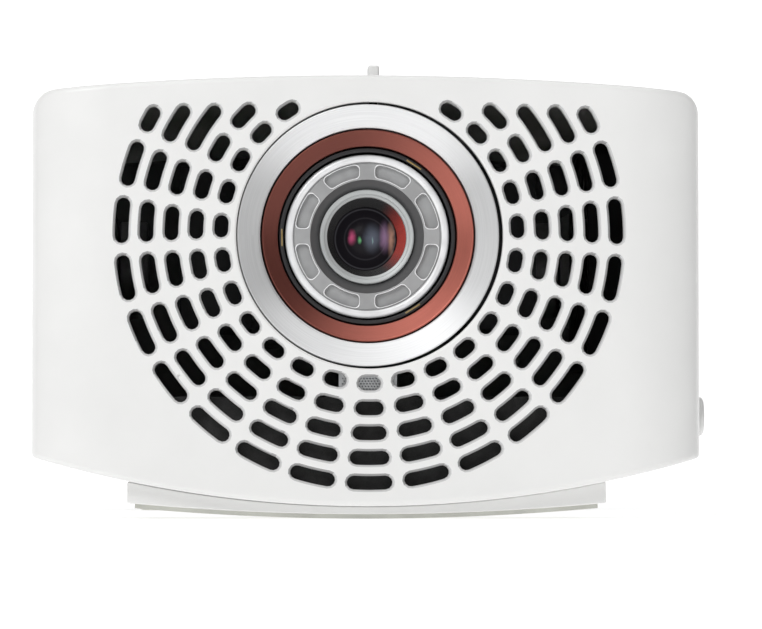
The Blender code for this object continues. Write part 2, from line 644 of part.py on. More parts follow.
def heat_sink(name, side, base_x, front, rear):
    """A comb of upright fins on a base plate."""
    fins, fin, base, reach = 7, 1.2, 3.0, 15.0
    pitch = (rear - front - fin) / (fins - 1)
    outline = [(base_x, front), (base_x, rear)]
    for index in reversed(range(fins)):
        y = front + index * pitch
        outline += [(base_x + base, y + fin), (base_x + reach, y + fin), (base_x + reach, y), (base_x + base, y)]
    outline = [point for index, point in enumerate(outline) if index not in (2, len(outline) - 1)]
    mirrored = [(side * x, y) for x, y in outline]
    solid(name, prism(mirrored, LENS_Z - 17, LENS_Z + 17, "Z"), ALUMINIUM)


def fan(name, side):
    """An axial fan that blows out through the side vents."""
    outer_x = side * (HALF - WALL - FAN_WALL_GAP)
    inner_x = outer_x - side * FAN_THICKNESS
    xs = sorted((outer_x, inner_x))
    half = FAN_SIZE / 2
    frame = solid(
        f"fan_frame_{name}", box((xs[0], FAN_Y - half, FAN_Z - half), (xs[1], FAN_Y + half, FAN_Z + half)), BLACK
    )
    cut(frame, "bore", turned(disc_profile(FAN_BORE, xs[0] - 1, xs[1] + 1), (0, FAN_Y, FAN_Z), "X", 32))
    centre = (sum(xs) / 2, FAN_Y, FAN_Z)
    hub = turned(disc_profile(FAN_HUB, xs[0] + 1, xs[1] - 1), (0, FAN_Y, FAN_Z), "X", 24)
    rotor = solid(f"fan_rotor_{name}", hub, BLACK, centre)
    blades = bmesh.new()
    tip = FAN_BORE - 1.0
    for index in range(FAN_BLADES):
        added = bmesh.new()
        add_box(added, (-0.6, -3.6, FAN_HUB - 1), (0.6, 3.6, tip))
        turn = Matrix.Rotation(math.tau * index / FAN_BLADES, 4, "X") @ Matrix.Rotation(math.radians(35), 4, "Z")
        bmesh.ops.transform(added, matrix=Matrix.Translation(centre) @ turn, verts=added.verts)
        data = bpy.data.meshes.new("blade")
        added.to_mesh(data)
        added.free()
        blades.from_mesh(data)
        bpy.data.meshes.remove(data)
    boolean(rotor, cutter(f"fan_rotor_{name}_blades", blades), "UNION")


def speaker(name, side):
    """A speaker that faces the side vents: basket, cone and magnet."""
    face = HALF - WALL - 1.5

    def piece(kind, profile, finish, segments):
        placed = [(radius, side * (face - depth)) for radius, depth in profile]
        middle = (side * face, SPEAKER_Y, FAN_Z)
        mesh = turned(placed, (0, SPEAKER_Y, FAN_Z), "X", segments)
        solid(f"speaker_{kind}_{name}", mesh, finish, middle)

    rim = SPEAKER_RADIUS
    basket = [(rim, 0), (rim, 2), (rim - 5, 11), (rim - 9, 11), (rim - 9, 9.8), (rim - 6, 9.8), (rim - 2.5, 2), (rim - 2.5, 0)]
    cone = [(0, 4.5), (5, 4.5), (rim - 3, 0.6), (rim - 3, 1.4), (5, 5.6), (0, 5.6)]
    piece("basket", basket, STEEL, 28)
    piece("cone", cone, BLACK, 28)
    piece("magnet", disc_profile(rim - 5.5, 11 + GAP, 18), STEEL, 24)


def electronics():
    """The main board, the sockets, the receiver window and the power button."""
    board_end = REAR_Y - WALL - 4
    board = box(
        (-BOARD_HALF_WIDTH, BOARD_FRONT_Y, BOARD_Z), (BOARD_HALF_WIDTH, board_end, BOARD_Z + BOARD_THICKNESS)
    )
    solid("main_board", board, CIRCUIT)
    for name, x, width, height in PORTS:
        depth = 12.0
        low = (x - width / 2, REAR_Y - 0.5 - depth, PORT_Z)
        socket = solid(name, box(low, (x + width / 2, REAR_Y - 0.5, PORT_Z + height)), STEEL)
        centre_z, inset = PORT_Z + height / 2, 0.7
        if name in ROUND_PORTS:
            bore, pin = ROUND_PORTS[name]
            profile = [(pin, REAR_Y - 9), (bore, REAR_Y - 9), (bore, REAR_Y + 1), (pin, REAR_Y + 1)]
            if pin == 0:
                profile = disc_profile(bore, REAR_Y - 9, REAR_Y + 1)
            cut(socket, "bore", turned(profile, (x, 0, centre_z), segments=16))
            continue
        tongue = min(height / 2 - inset, 2.2) / 2
        mouth = bmesh.new()
        loop = [
            (x - width / 2 + inset, PORT_Z + inset), (x + width / 2 - inset, PORT_Z + inset),
            (x + width / 2 - inset, PORT_Z + height - inset), (x - width / 2 + inset, PORT_Z + height - inset),
        ]
        add_prism(mouth, loop, REAR_Y - 10, REAR_Y + 1, along_y)
        cut(socket, "mouth", mouth)
        slab = box(
            (x - width / 2 + 2.2, REAR_Y - 11, centre_z - tongue), (x + width / 2 - 2.2, REAR_Y - 2.5, centre_z + tongue)
        )
        boolean(socket, cutter(f"{name}_tongue", slab), "UNION")
    window = box(
        (-IR_HALF_WIDTH, REAR_Y - WALL, IR_Z - IR_HALF_HEIGHT), (IR_HALF_WIDTH, REAR_Y - 0.2, IR_Z + IR_HALF_HEIGHT)
    )
    solid("ir_window", window, BLACK)
    crown = top_z(0)
    key = [(0, crown - 5), (POWER_RADIUS, crown - 5), (POWER_RADIUS, crown + 0.3)]
    key += [(POWER_RADIUS - 0.5, crown + 0.8), (0, crown + 0.8)]
    solid("power_button", turned(key, (0, POWER_Y, 0), "Z", 24), WHITE, (0, POWER_Y, crown))


def behind_grille():
    """The felt behind the lower slots and the pierced strip behind the lowest one of the first ring."""
    felt_y = FRONT_Y + WALL + 2
    felt_top = LENS_Z - SLOT_FIRST_RADIUS - SLOT_PITCH / 2
    outline = [(FLAT_HALF, felt_top), (-FLAT_HALF, felt_top)]
    outline += [(x, belly_z(x, WALL + 1)) for x in section_x(WALL + 1) if abs(x) <= FLAT_HALF]
    solid("grille_felt", prism(outline, felt_y, felt_y + 1.5), FELT)
    low = (-5.8, felt_y - 1.2 - GAP, LENS_Z - SLOT_FIRST_RADIUS - 3)
    solid("front_bracket", box(low, (5.8, felt_y - GAP, low[2] + 6)), STEEL)


POWER_RADIUS, POWER_Y = 6.0, REAR_Y - 32.0
FAN_Z = top_z(HALF - WALL - FAN_WALL_GAP, WALL) - FAN_HEADROOM - FAN_SIZE / 2
BUTTON_Z = belly_z(HALF) + BUTTON_LIFT + BUTTON_HEIGHT / 2

# Sockets in the rear panel: name, x of the middle, width, height
PORTS = (
    ("video_port_1", -38.0, 15.0, 6.2),
    ("video_port_2", -18.0, 15.0, 6.2),
    ("usb_port", 1.0, 14.0, 7.0),
    ("usb_c_port", 16.0, 9.4, 3.8),
    ("headphone_jack", 26.5, 7.0, 6.0),
    ("av_jack", 36.0, 7.0, 6.0),
    ("dc_inlet", 47.0, 9.0, 10.0),
)
ROUND_PORTS = {"headphone_jack": (1.8, 0), "av_jack": (1.8, 0), "dc_inlet": (3.2, 1.0)}
PORT_Z = BOARD_Z + BOARD_THICKNESS + GAP
IR_HALF_WIDTH, IR_HALF_HEIGHT, IR_Z = 9.0, 4.0, 66.0
SCREW_PLACES = ((-44.0, 76.0), (44.0, 76.0), (-44.0, 36.0), (44.0, 36.0))

for existing in list(bpy.data.objects):
    bpy.data.objects.remove(existing)

WHITE = material("white_plastic", (0.86, 0.87, 0.87), 0.4)
GREY = material("grey_plastic", (0.45, 0.46, 0.47), 0.5)
BLACK = material("black_plastic", (0.015, 0.015, 0.016), 0.5)
SILVER = material("spun_aluminium", (0.78, 0.79, 0.8), 0.28, 1)
BRONZE = material("red_bronze", (0.3, 0.06, 0.045), 0.35, 1)
CLEAR = material("clear_plastic", (0.6, 0.62, 0.62), 0.15)
GLASS = material("coated_glass", (0.05, 0.04, 0.08), 0.03)
RUBBER = material("pale_rubber", (0.5, 0.51, 0.52), 0.75)
FELT = material("grey_felt", (0.02, 0.02, 0.02), 0.95)
STEEL = material("steel", (0.5, 0.5, 0.5), 0.35, 1)
ALUMINIUM = material("cast_aluminium", (0.6, 0.61, 0.62), 0.5, 1)
COPPER = material("copper", (0.7, 0.32, 0.2), 0.3, 1)
CIRCUIT = material("circuit_board", (0.02, 0.12, 0.05), 0.5)

casing(WHITE, GREY)
lens_front()
focus()
standing()
engine()
for side_name, side_sign in (("left", -1), ("right", 1)):
    fan(side_name, side_sign)
    speaker(side_name, side_sign)
electronics()
behind_grille()
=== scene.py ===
"""Looks of a home projector: its covers, lens front, foot, cooling, sound and sockets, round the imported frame.

Sizes are in millimetres. They become metres where a mesh is made. Front is -Y, +X is right and +Z is up.
"""

import json
import logging
import math
from collections.abc import Callable, Iterable, Sequence
from dataclasses import dataclass, field
from enum import Enum

import bmesh
import bpy
from mathutils import Matrix, Vector

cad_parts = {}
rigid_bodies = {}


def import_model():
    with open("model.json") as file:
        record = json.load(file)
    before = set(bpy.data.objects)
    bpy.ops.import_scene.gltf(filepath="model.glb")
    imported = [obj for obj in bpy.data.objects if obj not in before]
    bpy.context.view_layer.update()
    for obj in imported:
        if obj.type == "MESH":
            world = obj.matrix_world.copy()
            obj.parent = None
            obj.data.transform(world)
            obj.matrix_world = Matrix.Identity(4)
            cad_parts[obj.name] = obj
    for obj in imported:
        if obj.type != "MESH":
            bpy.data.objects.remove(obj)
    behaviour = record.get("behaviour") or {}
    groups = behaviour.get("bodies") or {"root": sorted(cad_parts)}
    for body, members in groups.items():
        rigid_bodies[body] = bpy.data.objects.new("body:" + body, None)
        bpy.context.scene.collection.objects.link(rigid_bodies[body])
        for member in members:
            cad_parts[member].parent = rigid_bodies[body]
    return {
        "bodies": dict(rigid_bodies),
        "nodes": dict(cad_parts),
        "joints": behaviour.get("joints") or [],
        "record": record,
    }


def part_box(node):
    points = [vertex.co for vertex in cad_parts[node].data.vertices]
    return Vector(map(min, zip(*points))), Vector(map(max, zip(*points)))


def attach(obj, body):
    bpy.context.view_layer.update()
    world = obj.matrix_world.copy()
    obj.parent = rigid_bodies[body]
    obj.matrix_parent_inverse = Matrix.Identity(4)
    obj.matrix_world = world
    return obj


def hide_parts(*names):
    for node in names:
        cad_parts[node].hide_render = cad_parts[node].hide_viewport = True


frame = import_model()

log = logging.getLogger("home_projector")

MM = 0.001
GAP = 0.3

Point = tuple[float, float]
Colour = tuple[float, float, float]
Place = tuple[float, float, float]
Outline = Callable[[float], list[Point]]
Thing = bpy.types.Object
Mesh = bmesh.types.BMesh


class Slot(Enum):
    """The material slots that the record names."""

    WHITE = "white_plastic"
    GREY = "grey_plastic"
    BLACK = "black_plastic"
    SILVER = "spun_aluminium"
    BRONZE = "red_bronze"
    CLEAR = "clear_plastic"
    GLASS = "coated_glass"
    RUBBER = "pale_rubber"
    FELT = "grey_felt"
    STEEL = "steel"
    CAST = "cast_aluminium"
    COPPER = "copper"
    BOARD = "circuit_board"


class Axis(Enum):
    """The frame's axes, as unit vectors."""

    X = (1.0, 0.0, 0.0)
    Y = (0.0, 1.0, 0.0)
    Z = (0.0, 0.0, 1.0)


# Node trees, written as expressions


class Value:
    """A node's output that takes part in Python arithmetic."""

    def __init__(self, graph: "Graph", socket: bpy.types.NodeSocket) -> None:
        """Wraps a socket of the graph."""
        self.graph = graph
        self.socket = socket

    def __add__(self, other: "Value | float") -> "Value":
        """Adds."""
        return self.graph.maths("ADD", self, other)

    def __radd__(self, other: float) -> "Value":
        """Adds, with the number on the left."""
        return self.graph.maths("ADD", other, self)

    def __sub__(self, other: "Value | float") -> "Value":
        """Subtracts."""
        return self.graph.maths("SUBTRACT", self, other)

    def __rsub__(self, other: float) -> "Value":
        """Subtracts this from a number."""
        return self.graph.maths("SUBTRACT", other, self)

    def __mul__(self, other: "Value | float") -> "Value":
        """Multiplies."""
        return self.graph.maths("MULTIPLY", self, other)

    def __rmul__(self, other: float) -> "Value":
        """Multiplies, with the number on the left."""
        return self.graph.maths("MULTIPLY", other, self)

    def __truediv__(self, other: "Value | float") -> "Value":
        """Divides."""
        return self.graph.maths("DIVIDE", self, other)

    def __pow__(self, other: "Value | float") -> "Value":
        """Raises to a power."""
        return self.graph.maths("POWER", self, other)

    def apply(self, operation: str, other: "Value | float" = 0.0) -> "Value":
        """Runs any other Math operation, such as SINE or MAXIMUM, on this value."""
        return self.graph.maths(operation, self, other)

    def ramp(self, low: float, high: float, start: float = 0.0, end: float = 1.0) -> "Value":
        """Eases from start to end while this value goes from low to high.

        Args:
            low: The value where the change starts.
            high: The value where it ends.
            start: The result up to low.
            end: The result from high on.

        Returns:
            The eased value.
        """
        inputs = {"Value": self, "From Min": low, "From Max": high, "To Min": start, "To Max": end}
        return self.graph.out("ShaderNodeMapRange", {"interpolation_type": "SMOOTHSTEP"}, inputs, "Result")


class Graph:
    """Adds nodes to a shader or geometry tree."""

    def __init__(self, tree: bpy.types.NodeTree) -> None:
        """Works on an existing tree."""
        self.tree = tree

    def node(
        self, kind: str, settings: dict[str, object] | None = None, inputs: dict[str | int, object] | None = None
    ) -> bpy.types.Node:
        """Adds one node.

        Args:
            kind: The node's type.
            settings: The node's own properties, set first. "stops" holds a colour ramp's (place, colour) pairs.
            inputs: Numbers, tuples, data-blocks or Values, by the name or number of the input they go to.

        Returns:
            The node.
        """
        made = self.tree.nodes.new(kind)
        for name, value in (settings or {}).items():
            if name == "stops":
                elements = made.color_ramp.elements
                while len(elements) < len(value):
                    elements.new(0.5)
                for element, (place, colour) in zip(elements, value):
                    element.position, element.color = place, (*colour, 1.0)
            else:
                setattr(made, name, value)
        for name, value in (inputs or {}).items():
            if isinstance(value, Value):
                self.tree.links.new(value.socket, made.inputs[name])
            else:
                made.inputs[name].default_value = value
        return made

    def out(
        self,
        kind: str,
        settings: dict[str, object] | None = None,
        inputs: dict[str | int, object] | None = None,
        output: str | int = 0,
    ) -> Value:
        """Adds one node and returns one of its outputs.

        Args:
            kind: The node's type.
            settings: The node's own properties.
            inputs: What goes to its inputs.
            output: The name or number of the output.

        Returns:
            That output.
        """
        return Value(self, self.node(kind, settings, inputs).outputs[output])

    def maths(self, operation: str, first: Value | float, second: Value | float = 0.0) -> Value:
        """Adds a Math node for one operation on two values."""
        return self.out("ShaderNodeMath", {"operation": operation}, {0: first, 1: second})

    def vector(self, operation: str, first: Value | Place, second: Value | Place) -> Value:
        """Adds a Vector Math node for one operation on two vectors."""
        return self.out("ShaderNodeVectorMath", {"operation": operation}, {0: first, 1: second})

    def axes(self, vector: Value) -> tuple[Value, Value, Value]:
        """Splits a vector into its three numbers."""
        split = self.node("ShaderNodeSeparateXYZ", inputs={0: vector})
        return tuple(Value(self, socket) for socket in split.outputs)

    def join(self, x: Value | float, y: Value | float, z: Value | float) -> Value:
        """Makes a vector of three numbers."""
        return self.out("ShaderNodeCombineXYZ", inputs={0: x, 1: y, 2: z})

    def mix(self, share: Value, first: Value | Colour, second: Value | Colour) -> Value:
        """Mixes two colours.

        Args:
            share: How much of the second colour shows, 0 to 1.
            first: The colour at 0.
            second: The colour at 1.

        Returns:
            The mixed colour.
        """
        made = self.node("ShaderNodeMix", {"data_type": "RGBA"}, {"Factor": share})
        for socket, colour in ((made.inputs[6], first), (made.inputs[7], second)):
            if isinstance(colour, Value):
                self.tree.links.new(colour.socket, socket)
            else:
                socket.default_value = (*colour, 1.0)
        return Value(self, made.outputs[2])


# Finishes


@dataclass(frozen=True)
class Finish:
    """What a piece is made of. Each kind adds its own pattern to the plain shader.

    The pattern lies on Object coordinates, in millimetres.
    """

    name: str
    colour: Colour
    roughness: float = 0.5
    metallic: float = 0.0
    coat: float = 0.0
    coat_roughness: float = 0.1
    sheen: float = 0.0
    transmission: float = 0.0
    ior: float = 1.5

    def build(self) -> bpy.types.Material:
        """Makes the material.

        Returns:
            The material, with its constants on the shader's own sockets and its pattern linked in.
        """
        made = bpy.data.materials.new(self.name)
        made.use_nodes = True
        graph = Graph(made.node_tree)
        shader = made.node_tree.nodes["Principled BSDF"]
        constants = {
            "Base Color": (*self.colour, 1.0),
            "Roughness": self.roughness,
            "Metallic": self.metallic,
            "Coat Weight": self.coat,
            "Coat Roughness": self.coat_roughness,
            "Sheen Weight": self.sheen,
            "Transmission Weight": self.transmission,
            "IOR": self.ior,
        }
        for socket, value in constants.items():
            shader.inputs[socket].default_value = value
        place = graph.out("ShaderNodeTexCoord", output="Object")
        millimetres = graph.vector("SCALE", place, (0.0, 0.0, 0.0))
        millimetres.socket.node.inputs["Scale"].default_value = 1 / MM
        for socket, value in self.pattern(graph, millimetres).items():
            graph.tree.links.new(value.socket, shader.inputs[socket])
        return made

    def pattern(self, graph: Graph, place: Value) -> dict[str, Value]:
        """What varies over the surface.

        Args:
            graph: The material's nodes.
            place: The place on the piece, in millimetres.

        Returns:
            Values by the shader socket they go to.
        """
        return {}

    def noise(
        self, graph: Graph, place: Value, size: float, detail: float = 2.0, stretch: Place = (1, 1, 1)
    ) -> Value:
        """Soft random variation.

        Args:
            graph: The material's nodes.
            place: The place on the piece.
            size: Size of its features in millimetres.
            detail: How many finer layers it has.
            stretch: How much the features are squeezed along each axis.

        Returns:
            A value round 0.5.
        """
        squeezed = graph.vector("MULTIPLY", place, stretch)
        inputs = {"Vector": squeezed, "Scale": 1 / size, "Detail": detail}
        return graph.out("ShaderNodeTexNoise", inputs=inputs)

    def shade(self, graph: Graph, amount: Value, depth: float) -> Value:
        """The base colour, darkened where the amount is low."""
        dark = tuple(part * (1 - depth) for part in self.colour)
        return graph.mix(amount, dark, self.colour)

    def relief(self, graph: Graph, height: Value, depth: float, strength: float = 1.0) -> Value:
        """A surface normal from a height of 0 to 1 that is depth millimetres deep."""
        inputs = {"Height": height, "Distance": depth * MM, "Strength": strength}
        return graph.out("ShaderNodeBump", inputs=inputs)


@dataclass(frozen=True)
class MouldedPlastic(Finish):
    """Moulded plastic with a fine spark-eroded grain."""

    grain: float = 0.35
    grain_depth: float = 0.006
    unevenness: float = 0.04

    def pattern(self, graph: Graph, place: Value) -> dict[str, Value]:
        """Fine grain, with broad slight changes of colour and gloss."""
        grain = self.noise(graph, place, self.grain, 3.0)
        broad = self.noise(graph, place, 40.0)
        flow = self.noise(graph, place, 9.0, 4.0)
        gloss = self.roughness + (flow - 0.5) * 0.12 + (grain - 0.5) * 0.1
        tone = (broad * 0.6 + flow * 0.4).ramp(0.3, 0.7)
        return {
            "Base Color": self.shade(graph, tone, self.unevenness),
            "Roughness": gloss,
            "Normal": self.relief(graph, grain, self.grain_depth),
        }


@dataclass(frozen=True)
class TurnedMetal(Finish):
    """Metal turned or spun about the lens axis, with fine circular tool marks."""

    height: float = 56.0
    marks: float = 0.16
    mark_depth: float = 0.003
    # Strength of the painted highlight fans and of the painted side shade, and the turn of the lit side.
    painted_fan_highlight: float = 0.0
    painted_side_shade: float = 0.0
    painted_lit_turn: float = -0.35

    def pattern(self, graph: Graph, place: Value) -> dict[str, Value]:
        """Circular marks that change with the radius, and hardly along the circle.

        Two bright fans, above and below, are a painted highlight. Where painted side shade is set, the ring is
        painted darker away from the lit turn, as if lit from one side.
        """
        x, _, z = graph.axes(place)
        up = z - self.height
        radius = (x * x + up * up).apply("SQRT")
        turn = up.apply("ARCTAN2", x)
        spiral = graph.join(radius / self.marks, turn * 1.5, 0.0)
        marks = graph.out("ShaderNodeTexNoise", inputs={"Vector": spiral, "Scale": 1.0, "Detail": 3.0})
        cloud = self.noise(graph, place, 14.0)
        # Painted highlight: two bright fans above and below the axis.
        fan = (up / radius).apply("ABSOLUTE").ramp(0.35, 0.9)
        # Painted shade: darker away from the lit turn, as if lit from one side.
        side = ((turn - self.painted_lit_turn).apply("COSINE") * 0.5 + 0.5).ramp(0.15, 1.0)
        tone = (1 - (1 - fan) * self.painted_fan_highlight) * (1 - (1 - side) * self.painted_side_shade)
        return {
            "Base Color": self.shade(graph, marks.ramp(0.25, 0.75, 0.9, 1.0) * tone, 1.0),
            "Roughness": self.roughness + (marks - 0.5) * 0.16 + (cloud - 0.5) * 0.08,
            "Normal": self.relief(graph, marks, self.mark_depth),
        }


@dataclass(frozen=True)
class ClearPlastic(Finish):
    """Clear moulded plastic with faint flow lines."""

    def pattern(self, graph: Graph, place: Value) -> dict[str, Value]:
        """Long waves left by the mould, and a slight haze."""
        waves = self.noise(graph, place, 3.0, 1.0)
        haze = self.noise(graph, place, 0.6, 3.0)
        return {
            "Base Color": self.shade(graph, waves.ramp(0.3, 0.7), 0.12),
            "Roughness": self.roughness + haze.ramp(0.4, 0.8) * 0.07,
            "Normal": self.relief(graph, waves, 0.05, 0.6),
        }


@dataclass(frozen=True)
class GlassWithPaintedReflections(Finish):
    """Dark lens glass with painted reflections that also glow: violet at one side, green in the middle and pale blue
    at the other.
    """

    height: float = 56.0
    radius: float = 6.4
    glow: float = 0.6
    # Painted reflections, each (x, z, half width, half height, colour).
    glints: tuple[tuple[float, float, float, float, Colour], ...] = (
        (-2.7, 0.3, 0.9, 1.6, (0.38, 0.06, 0.14)),
        (-1.2, -0.3, 0.4, 0.8, (0.10, 0.30, 0.13)),
        (1.4, 0.1, 2.0, 3.0, (0.075, 0.085, 0.11)),
        (1.4, -0.4, 0.2, 0.8, (0.16, 0.24, 0.24)),
        (3.9, 0.4, 1.2, 3.2, (0.19, 0.12, 0.20)),
        (5.2, 0.0, 0.8, 3.6, (0.34, 0.20, 0.15)),
    )

    def pattern(self, graph: Graph, place: Value) -> dict[str, Value]:
        """Painted reflections: soft coloured glints, each an oval of (x, z, half width, half height, colour), and
        faint light rings, in both the colour and the glow.
        """
        x, _, z = graph.axes(place)
        up = z - self.height
        ripple = (self.noise(graph, place, 1.6, 1.0) - 0.5) * 0.9
        reach = (x * x + up * up).apply("SQRT")
        colour: Value | Colour = (0.009, 0.008, 0.010)
        for across, above, wide, tall, tint in self.glints:
            a, b = (x - across + ripple) / wide, (up - above) / tall
            share = 1 - (a * a + b * b).apply("SQRT").ramp(0.0, 1.25)
            colour = graph.mix(share, colour, tint)
        # Painted reflection: faint light rings.
        rings = ((reach * 3.4).apply("SINE") * 0.5 + 0.5).ramp(0.88, 1.0) * reach.ramp(2.5, self.radius) * 0.07
        lit = graph.mix(rings, colour, (0.5, 0.5, 0.55))
        return {"Base Color": lit, "Emission Color": lit}

    def build(self) -> bpy.types.Material:
        """Makes the material, with a faint glow that stands for what the coating gives back."""
        made = super().build()
        made.node_tree.nodes["Principled BSDF"].inputs["Emission Strength"].default_value = self.glow
        return made


@dataclass(frozen=True)
class AntiGlareBlack(Finish):
    """Black anodised metal with a painted reflection: a red crescent at one side of the barrel."""

    height: float = 56.0
    # Colour of the painted reflection.
    red: Colour = (0.46, 0.032, 0.02)

    def pattern(self, graph: Graph, place: Value) -> dict[str, Value]:
        """A painted reflection, a red crescent towards +X that fades round the barrel, and a fine grain."""
        x, _, z = graph.axes(place)
        turn = (z - self.height).apply("ARCTAN2", x).apply("ABSOLUTE")
        grain = self.noise(graph, place, 0.4, 3.0)
        # Painted reflection: the red crescent, broken up by the grain.
        share = turn.ramp(0.25, 1.15, 1.0, 0.0) * grain.ramp(0.2, 0.6, 0.8, 1.0)
        return {
            "Base Color": graph.mix(share, self.colour, self.red),
            "Roughness": self.roughness + (grain - 0.5) * 0.2,
            "Normal": self.relief(graph, grain, 0.005),
        }


@dataclass(frozen=True)
class Felt(Finish):
    """Pressed felt: short fibres lying every way."""

    def pattern(self, graph: Graph, place: Value) -> dict[str, Value]:
        """Crossing fibres and loose tufts."""
        lengthwise = self.noise(graph, place, 0.25, 4.0, (1, 1, 6))
        crosswise = self.noise(graph, place, 0.25, 4.0, (6, 1, 1))
        fibres = lengthwise.apply("MAXIMUM", crosswise)
        tufts = self.noise(graph, place, 2.0, 3.0)
        return {
            "Base Color": self.shade(graph, (fibres * 0.6 + tufts * 0.4).ramp(0.35, 0.7), 0.55),
            "Roughness": self.roughness + (tufts - 0.5) * 0.1,
            "Normal": self.relief(graph, fibres, 0.12),
        }


@dataclass(frozen=True)
class Rubber(Finish):
    """Soft moulded rubber with a dull, slightly dusty skin."""

    def pattern(self, graph: Graph, place: Value) -> dict[str, Value]:
        """Pitted grain and dust."""
        pits = self.noise(graph, place, 0.5, 3.0)
        dust = self.noise(graph, place, 7.0, 5.0)
        return {
            "Base Color": self.shade(graph, dust.ramp(0.3, 0.75), 0.14),
            "Roughness": self.roughness + (dust - 0.5) * 0.2,
            "Normal": self.relief(graph, pits, 0.02),
        }


@dataclass(frozen=True)
class BrushedSteel(Finish):
    """Plated sheet steel, rolled in one direction."""

    def pattern(self, graph: Graph, place: Value) -> dict[str, Value]:
        """Rolling lines along X, and cloudy plating."""
        lines = self.noise(graph, place, 0.6, 4.0, (0.08, 5, 5))
        plating = self.noise(graph, place, 4.0, 4.0)
        return {
            "Base Color": self.shade(graph, plating.ramp(0.25, 0.7), 0.18),
            "Roughness": self.roughness + (lines - 0.5) * 0.25 + (plating - 0.5) * 0.15,
            "Normal": self.relief(graph, lines, 0.008),
        }


@dataclass(frozen=True)
class CastMetal(Finish):
    """Cast or drawn metal with a sandy skin and darker patches."""

    sand: float = 0.7
    patches: float = 0.25

    def pattern(self, graph: Graph, place: Value) -> dict[str, Value]:
        """Sandy grain and slow tarnish."""
        grain = self.noise(graph, place, self.sand, 5.0)
        tarnish = self.noise(graph, place, 9.0, 4.0)
        return {
            "Base Color": self.shade(graph, tarnish.ramp(0.3, 0.65), self.patches),
            "Roughness": self.roughness + (tarnish - 0.5) * 0.3,
            "Normal": self.relief(graph, grain, 0.05),
        }


@dataclass(frozen=True)
class CircuitBoard(Finish):
    """A lacquered board with copper tracks below the lacquer, and plated pads."""

    track_pitch: float = 1.3

    def pattern(self, graph: Graph, place: Value) -> dict[str, Value]:
        """Tracks that run in steps round square fields, and a scatter of round pads."""
        cells = {"feature": "F1", "distance": "CHEBYCHEV"}
        field_inputs = {"Vector": place, "Scale": 1 / 11.0, "Randomness": 0.9}
        fields = graph.out("ShaderNodeTexVoronoi", cells, field_inputs, "Distance")
        waves = (fields * (11.0 / self.track_pitch * math.tau)).apply("SINE")
        tracks = waves.ramp(0.1, 0.5)
        pads = graph.out("ShaderNodeTexVoronoi", inputs={"Vector": place, "Scale": 1 / 3.2}, output="Distance")
        dots = 1 - pads.ramp(0.17, 0.21)
        lacquer = graph.mix(tracks, tuple(part * 0.6 for part in self.colour), self.colour)
        return {
            "Base Color": graph.mix(dots, lacquer, (0.72, 0.70, 0.62)),
            "Metallic": dots * 0.9,
            "Roughness": self.roughness + dots * 0.1,
            "Normal": self.relief(graph, tracks + dots, 0.04),
        }


BARREL = AntiGlareBlack("anti_glare_black", (0.006, 0.006, 0.007), 0.55)
# Painted shade for the slot mouths: grey all round, and a darker grey where a mouth faces down and to the right.
MOUTH_PAINTED_SHADE = MouldedPlastic("slot_mouth_plastic", (0.62, 0.62, 0.62), 0.5)
MOUTH_PAINTED_DARK_SHADE = MouldedPlastic("slot_mouth_shaded_plastic", (0.36, 0.36, 0.36), 0.5)
# Painted highlight on the clear retainer's outer bead and window lips.
BEAD_PAINTED_HIGHLIGHT = ClearPlastic("polished_bead", (0.93, 0.94, 0.95), 0.12, coat=1.0)
# Painted shade on the clear retainer's inner skirt, down in the groove.
GROOVE_PAINTED_SHADE = MouldedPlastic("groove_black", (0.09, 0.09, 0.092), 0.45, coat=0.3)
RIM = TurnedMetal("satin_rim", (0.52, 0.54, 0.54), 0.5, 0.35)
AMBER_PATCH = MouldedPlastic("amber_film", (0.30, 0.21, 0.07), 0.3, coat=0.3)
FINISHES: dict[Slot, Finish] = {
    Slot.WHITE: MouldedPlastic("satin_white_plastic", (0.86, 0.86, 0.85), 0.36, coat=0.12, coat_roughness=0.25),
    Slot.GREY: MouldedPlastic("grey_plastic", (0.30, 0.31, 0.32), 0.5, grain_depth=0.014, unevenness=0.1),
    Slot.BLACK: MouldedPlastic("black_plastic", (0.018, 0.018, 0.02), 0.42, grain_depth=0.01, unevenness=0.3),
    # The spun ring's bright fans are a painted highlight; the bronze cone's darker side is painted shade.
    Slot.SILVER: TurnedMetal("spun_aluminium", (0.90, 0.905, 0.91), 0.5, 0.6, painted_fan_highlight=0.34),
    Slot.BRONZE: TurnedMetal("red_bronze_anodised", (0.54, 0.165, 0.125), 0.42, 0.72, painted_side_shade=0.66, painted_lit_turn=-0.4),
    Slot.CLEAR: ClearPlastic("clear_moulding", (0.50, 0.505, 0.51), 0.16, coat=0.8, transmission=0.2, ior=1.49),
    Slot.GLASS: GlassWithPaintedReflections("coated_glass", (0.02, 0.02, 0.03), 0.3, ior=1.2),
    Slot.RUBBER: Rubber("pale_rubber", (0.66, 0.665, 0.61), 0.75),
    Slot.FELT: Felt("grey_felt", (0.05, 0.05, 0.05), 0.95, sheen=0.4),
    Slot.STEEL: BrushedSteel("plated_steel", (0.55, 0.56, 0.57), 0.34, 1.0),
    Slot.CAST: CastMetal("black_cast_aluminium", (0.075, 0.076, 0.08), 0.5, 0.7),
    Slot.COPPER: CastMetal("drawn_copper", (0.80, 0.36, 0.22), 0.28, 1.0, sand=0.3, patches=0.4),
    Slot.BOARD: CircuitBoard("lacquered_board", (0.02, 0.14, 0.06), 0.3, coat=0.5),
}


# Shapes


